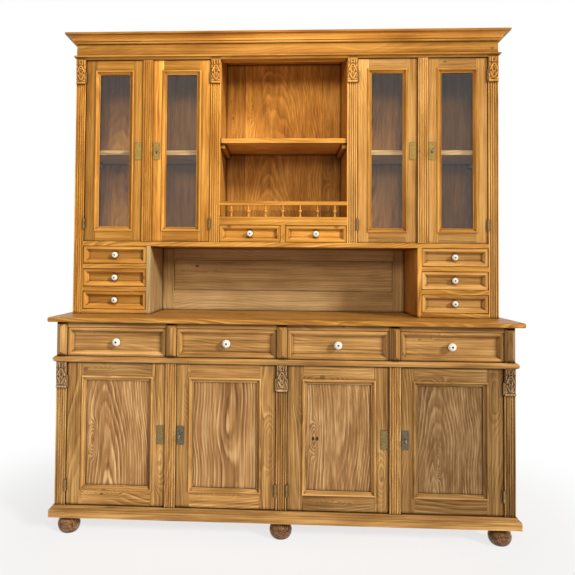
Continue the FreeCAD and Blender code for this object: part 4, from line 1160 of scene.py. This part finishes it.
def capital(name, low, high, cutters):
    """A carved capital in the box of its CAD solid, in millimetres. The box's back is the post's face."""
    middle, back = (low[0] + high[0]) / 2, high[1] * MM
    piece = started(bpy.ops.mesh.primitive_grid_add, name, x_subdivisions=CARVING_COLUMNS,
                    y_subdivisions=CARVING_ROWS, size=1.0, rotation=(math.pi / 2, 0, 0),
                    place=(middle * MM, back, (low[2] + CAPITAL_HEIGHT / 2) * MM),
                    scale=((high[0] - low[0]) * MM, CAPITAL_HEIGHT * MM, 1))
    spots = values(piece.data.vertices, "co", 3)
    x, z = spots[:, 0] / MM - middle, spots[:, 2] / MM - low[2]
    height = carving(x, z)
    spots[:, 1] -= height * MM
    piece.data.vertices.foreach_set("co", spots.ravel())
    # Painted shade with old wax lies where the carving is lower than its surroundings, and what stands above
    # them gets a painted highlight.
    steps = ((AROUND, 0), (-AROUND, 0), (0, AROUND), (0, -AROUND))
    around = np.mean([carving(x + side, z + up) for side, up in steps], axis=0)
    wax = np.clip((around - height) / CARVING_DEPTH, CARVING_HIGHLIGHT, CARVING_SHADE_MOST)
    piece.data.attributes.new("wax", "FLOAT", "POINT").data.foreach_set("value", wax)
    bpy.ops.object.mode_set(mode="EDIT")
    bpy.ops.mesh.select_all(action="DESELECT")
    bpy.ops.mesh.select_mode(type="EDGE")
    bpy.ops.mesh.select_non_manifold()
    bpy.ops.mesh.extrude_edges_move(TRANSFORM_OT_translate={"value": (0, CAPITAL_REACH * MM, 0)})
    bpy.ops.transform.resize(value=(1, 0, 1), center_override=(0, back, 0))
    bpy.ops.mesh.edge_face_add()
    bpy.ops.mesh.select_all(action="SELECT")
    bpy.ops.mesh.normals_make_consistent(inside=False)
    bpy.ops.object.mode_set(mode="OBJECT")
    for cutter in cutters:
        cut = piece.modifiers.new("hinge_notch", "BOOLEAN")
        cut.operation, cut.solver, cut.object = "DIFFERENCE", "EXACT", cutter
        bpy.ops.object.modifier_apply(modifier=cut.name)
    return piece


print("a capital is carved on", CARVING_COLUMNS * CARVING_ROWS, "faces")

# %% [markdown]
# The cutters are cylinders, a little larger than the knuckles, at every hinge that stands beside a capital.
# They are removed again when the capital is cut.

# %% Capitals of the base and the hutch
# A knuckle is 9 mm thick, and 48 mm long with the half that turns. The cutter is a little larger all round.
KNUCKLE_THICK, KNUCKLE_LONG, CUTTER_RADIUS, CUTTER_LONG, NEAR = 9, 48, 5.1, 49.2, 1
CUTTER_SIDES = 24
knuckles = [solid_box("hinge_pins", number) for number in range(len(closed_solids("hinge_pins")[1]))]


def notch_cutters(low, high):
    """Cylinders for the hinges that reach into a box, in millimetres."""
    made = []
    for pin_low, pin_high in knuckles:
        if np.all(pin_low - NEAR < high) and np.all(pin_high + NEAR > low):
            middle = ((pin_low[0] + pin_high[0]) / 2 * MM, (pin_low[1] + KNUCKLE_THICK / 2) * MM,
                      (pin_low[2] + KNUCKLE_LONG / 2) * MM)
            bpy.ops.object.select_all(action="DESELECT")
            bpy.ops.mesh.primitive_cylinder_add(vertices=CUTTER_SIDES, radius=CUTTER_RADIUS * MM,
                                                depth=CUTTER_LONG * MM, location=middle)
            made.append(bpy.context.object)
    return made


# The tones are by post: the right one of the base is darker, as painted shade.
for node, posts, finish, slot, tones in (("base_pilasters", 3, carved_brown, "brown_pine", {2: 0.7}),
                                         ("hutch_pilasters", 4, carved_golden, "golden_pine", {})):
    carved = []
    for post in range(posts):
        low, high = solid_box(node, 2 * post + 1)
        cutters = notch_cutters(low, high)
        carved.append(capital(f"{node}_capital_{post}", low, high, cutters))
        number_boards(carved[-1].data, [post] * len(carved[-1].data.polygons))
        remove(cutters)
    carved = joined(carved, node + "_carved_capitals")
    give_grain(carved, finish, chance=0.0, tones=tones)
    settle(carved, "carcass", [node])
    print(carved.name, len(carved.data.polygons), "faces")

# %% [markdown]
# ## Key plates
# Eight cast plates stand on the meeting stiles, with a raised rim, a small oval boss and a fan of leaves
# above and below it. The blank is a thin block whose corners are rounded with a bevel and whose face is
# inset and pushed in. A leaf is a ball that is flattened and drawn out to a point.

# %% One cast plate
# All lengths are in millimetres.
PLATE_WIDE, PLATE_HIGH, PLATE_THICK, PLATE_CORNER = 28.0, 75.0, 1.6, 3.0
# Steps of the rim from outside in: how wide, and how deep.
RIM = ((0.5, 0.0), (1.6, 0.0), (0.6, -0.6))
# The fan: angles and lengths of its leaves, and how far from the middle their stems are.
FAN, STEM = ((0, 17), (0.5, 13), (-0.5, 13), (1.0, 9), (-1.0, 9)), 12.5
# A leaf's half width and half length by its length, its half thickness, how pointed and how sunk it is.
LEAF_HALF, LEAF_HALF_LONG, LEAF_THICK, LEAF_POINT, LEAF_SUNK = 0.26, 0.5, 0.9, 0.7, 0.7
BOSS = [(6.5, 0), (6.4, 0.3), (5.6, 0.6), (5.0, 0.6), (4.2, 0.9), (0.3, 0.95)]
BOSS_SIDES, BOSS_OVAL, BOSS_SUNK = 28, 1.5, 0.65


def plate_leaf(z, angle, length):
    """A small cast leaf whose stem is at height z, on a plate that faces forward."""
    half = LEAF_HALF_LONG * length * MM
    leaf = started(bpy.ops.mesh.primitive_uv_sphere_add, "leaf", segments=12, ring_count=8, radius=1.0,
                   scale=(LEAF_HALF * length * MM, LEAF_THICK * MM, half))
    for v in leaf.data.vertices:
        v.co.x *= 1.0 - LEAF_POINT * max(0.0, v.co.z / half)
        v.co.z += half
    spot = Matrix.Translation((0, -(PLATE_THICK - LEAF_SUNK) * MM, z * MM))
    leaf.data.transform(spot @ Matrix.Rotation(angle, 4, "Y"))
    return leaf


blank = started(bpy.ops.mesh.primitive_cube_add, "blank", place=(0, -PLATE_THICK / 2 * MM, 0), size=1.0,
                scale=(PLATE_WIDE * MM, PLATE_THICK * MM, PLATE_HIGH * MM))
bpy.ops.object.mode_set(mode="EDIT")
bpy.ops.mesh.select_mode(type="EDGE")
shape = bmesh.from_edit_mesh(blank.data)
for edge in shape.edges:
    a, b = edge.verts
    edge.select_set(abs(a.co.y - b.co.y) > PLATE_THICK / 2 * MM)
shape.select_flush_mode()
bpy.ops.mesh.bevel(offset=PLATE_CORNER * MM, segments=4, affect="EDGES")
bpy.ops.mesh.select_mode(type="FACE")
shape = bmesh.from_edit_mesh(blank.data)
for face in shape.faces:
    face.select_set(face.normal.y < -0.9)
for wide, deep in RIM:
    bpy.ops.mesh.inset(thickness=wide * MM, depth=deep * MM)
bpy.ops.object.mode_set(mode="OBJECT")
cast = [blank]
cast += [plate_leaf(STEM, angle, length) for angle, length in FAN]
cast += [plate_leaf(-STEM, math.pi - angle, length) for angle, length in FAN]
boss = turned("boss", BOSS, BOSS_SIDES)
oval = Matrix.Scale(BOSS_OVAL, 4, (0, 0, 1)) @ FACE_FORWARD
boss.data.transform(Matrix.Translation((0, -(PLATE_THICK - BOSS_SUNK) * MM, 0)) @ oval)
plate = joined(cast + [boss], "plate_pattern")
print("plate", len(plate.data.polygons), "faces")

# %% [markdown]
# Four of the plates have a keyhole. It is a dark round opening with a slot below it, drawn as a thin dark
# inlay on the boss: painted shade for the opening, because behind the plate the lock is dark anyway.

# %% Keyholes and placing the plates
HOLE, HOLE_SIDES = [(3.4, 0), (3.4, 0.35), (0.3, 0.36)], 24
SLIT_WIDE, SLIT_THICK, SLIT_HIGH, SLIT_MIDDLE = 2.6, 0.36, 8.0, -5.5
# The slot widens below this height.
SLIT_WIDER, SLIT_FLARE = 1.5, -5
INLAY_LIFT = 0.3

hole = turned("keyhole", HOLE, HOLE_SIDES)
hole.data.transform(FACE_FORWARD)
slit = started(bpy.ops.mesh.primitive_cube_add, "slit", size=1.0,
               place=(0, -SLIT_THICK / 2 * MM, SLIT_MIDDLE * MM),
               scale=(SLIT_WIDE * MM, SLIT_THICK * MM, SLIT_HIGH * MM))
for v in slit.data.vertices:
    v.co.x *= 1.0 if v.co.z > SLIT_FLARE * MM else SLIT_WIDER
hole = joined([hole, slit], "keyhole_pattern")
forward = Matrix.Translation((0, -(PLATE_THICK + INLAY_LIFT) * MM, 0))

# On the base the blind plates are only tarnished, and those with a key have gone nearly black.
for stage, solid, blind, keyed in (("base", BASE_PLATE, dark_brass, black_brass),
                                   ("hutch", HUTCH_PLATE, gold_brass, gold_brass)):
    for n in (1, 2, 3, 4):
        door = f"{stage}_door_{n}"
        node, number, brass = (door, solid, blind) if n % 2 else (door + "_lock", 1, keyed)
        low, high = solid_box(node, number)
        middle = (low + high) / 2
        spot = Matrix.Translation((middle[0] * MM, high[1] * MM, middle[2] * MM))
        piece = copied(plate, door + "_plate", spot)
        piece.data.materials.append(brass)
        if n % 2 == 0:
            piece.data.materials.append(lock_painted_shade)
            inlay = copied(hole, door + "_hole", forward @ spot)
            inlay.data.materials.append(brass)
            inlay.data.materials.append(lock_painted_shade)
            for face in inlay.data.polygons:
                face.material_index = 1
            piece = joined([piece, inlay], door + "_plate")
        settle(piece, door, [node])
remove([plate, hole])
print("8 plates")

# %% [markdown]
# ## Keys
# Four forged keys stay in the locks: an oval bow, a collar, a round shank and, out of sight, the bit. The
# bow starts as a torus, the shank is grown like a turned piece with its collars, and the bit is a block
# whose edges are eased.

# %% Keys
# All lengths are in millimetres. The bow's ring and wire, how flat it is, and where its middle is.
BOW_RADIUS, BOW_WIRE, BOW_FLAT, BOW_MIDDLE = 8.6, 2.2, 0.85, 11
# Where the shank starts behind the tip of the bow, and its collars and end.
SHANK_START, SHANK_SIDES = 19, 20
COLLARS = [(1.6, 0), (2.4, 0.6), (3.4, 1.6), (3.4, 2.6), (2.5, 3.4), (2.5, 5.0), (3.1, 5.8), (3.1, 6.8),
           (2.5, 7.6)]
SHANK_RADIUS, END_RADIUS, END_ROUND = 2.5, 1.9, 0.6
BIT, BIT_FROM_END, BIT_ABOVE, BIT_EDGE = (2.6, 5.6, 6.6), 3.2, 5.6, 0.5

for stage in ("base", "hutch"):
    for n in (2, 4):
        name = f"{stage}_door_{n}_key"
        low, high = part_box(name)
        middle_x, middle_z = (low.x + high.x) / 2, low.z + BOW_MIDDLE * MM
        bow = started(bpy.ops.mesh.primitive_torus_add, "bow", major_segments=36, minor_segments=12,
                      major_radius=BOW_RADIUS * MM, minor_radius=BOW_WIRE * MM,
                      rotation=(0, math.pi / 2, 0), scale=(1, 1, BOW_FLAT),
                      place=(middle_x, low.y + BOW_MIDDLE * MM, middle_z))
        long = (high.y - low.y) / MM - SHANK_START
        end = [(SHANK_RADIUS, long - END_ROUND), (END_RADIUS, long)]
        shank = turned("shank", COLLARS + end, SHANK_SIDES)
        spot = Matrix.Translation((middle_x, low.y + SHANK_START * MM, middle_z))
        shank.data.transform(spot @ Matrix.Rotation(-math.pi / 2, 4, "X"))
        bit = started(bpy.ops.mesh.primitive_cube_add, "bit", size=1.0, scale=[side * MM for side in BIT],
                      place=(middle_x, high.y - BIT_FROM_END * MM, middle_z + BIT_ABOVE * MM))
        bpy.ops.object.mode_set(mode="EDIT")
        bpy.ops.mesh.select_all(action="SELECT")
        bpy.ops.mesh.bevel(offset=BIT_EDGE * MM, segments=2, affect="EDGES")
        bpy.ops.object.mode_set(mode="OBJECT")
        key = joined([bow, shank, bit], name + "_forged")
        key.data.materials.append(key_steel)
        settle(key, frame["nodes"][name]["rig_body"], [name])
print("4 keys")
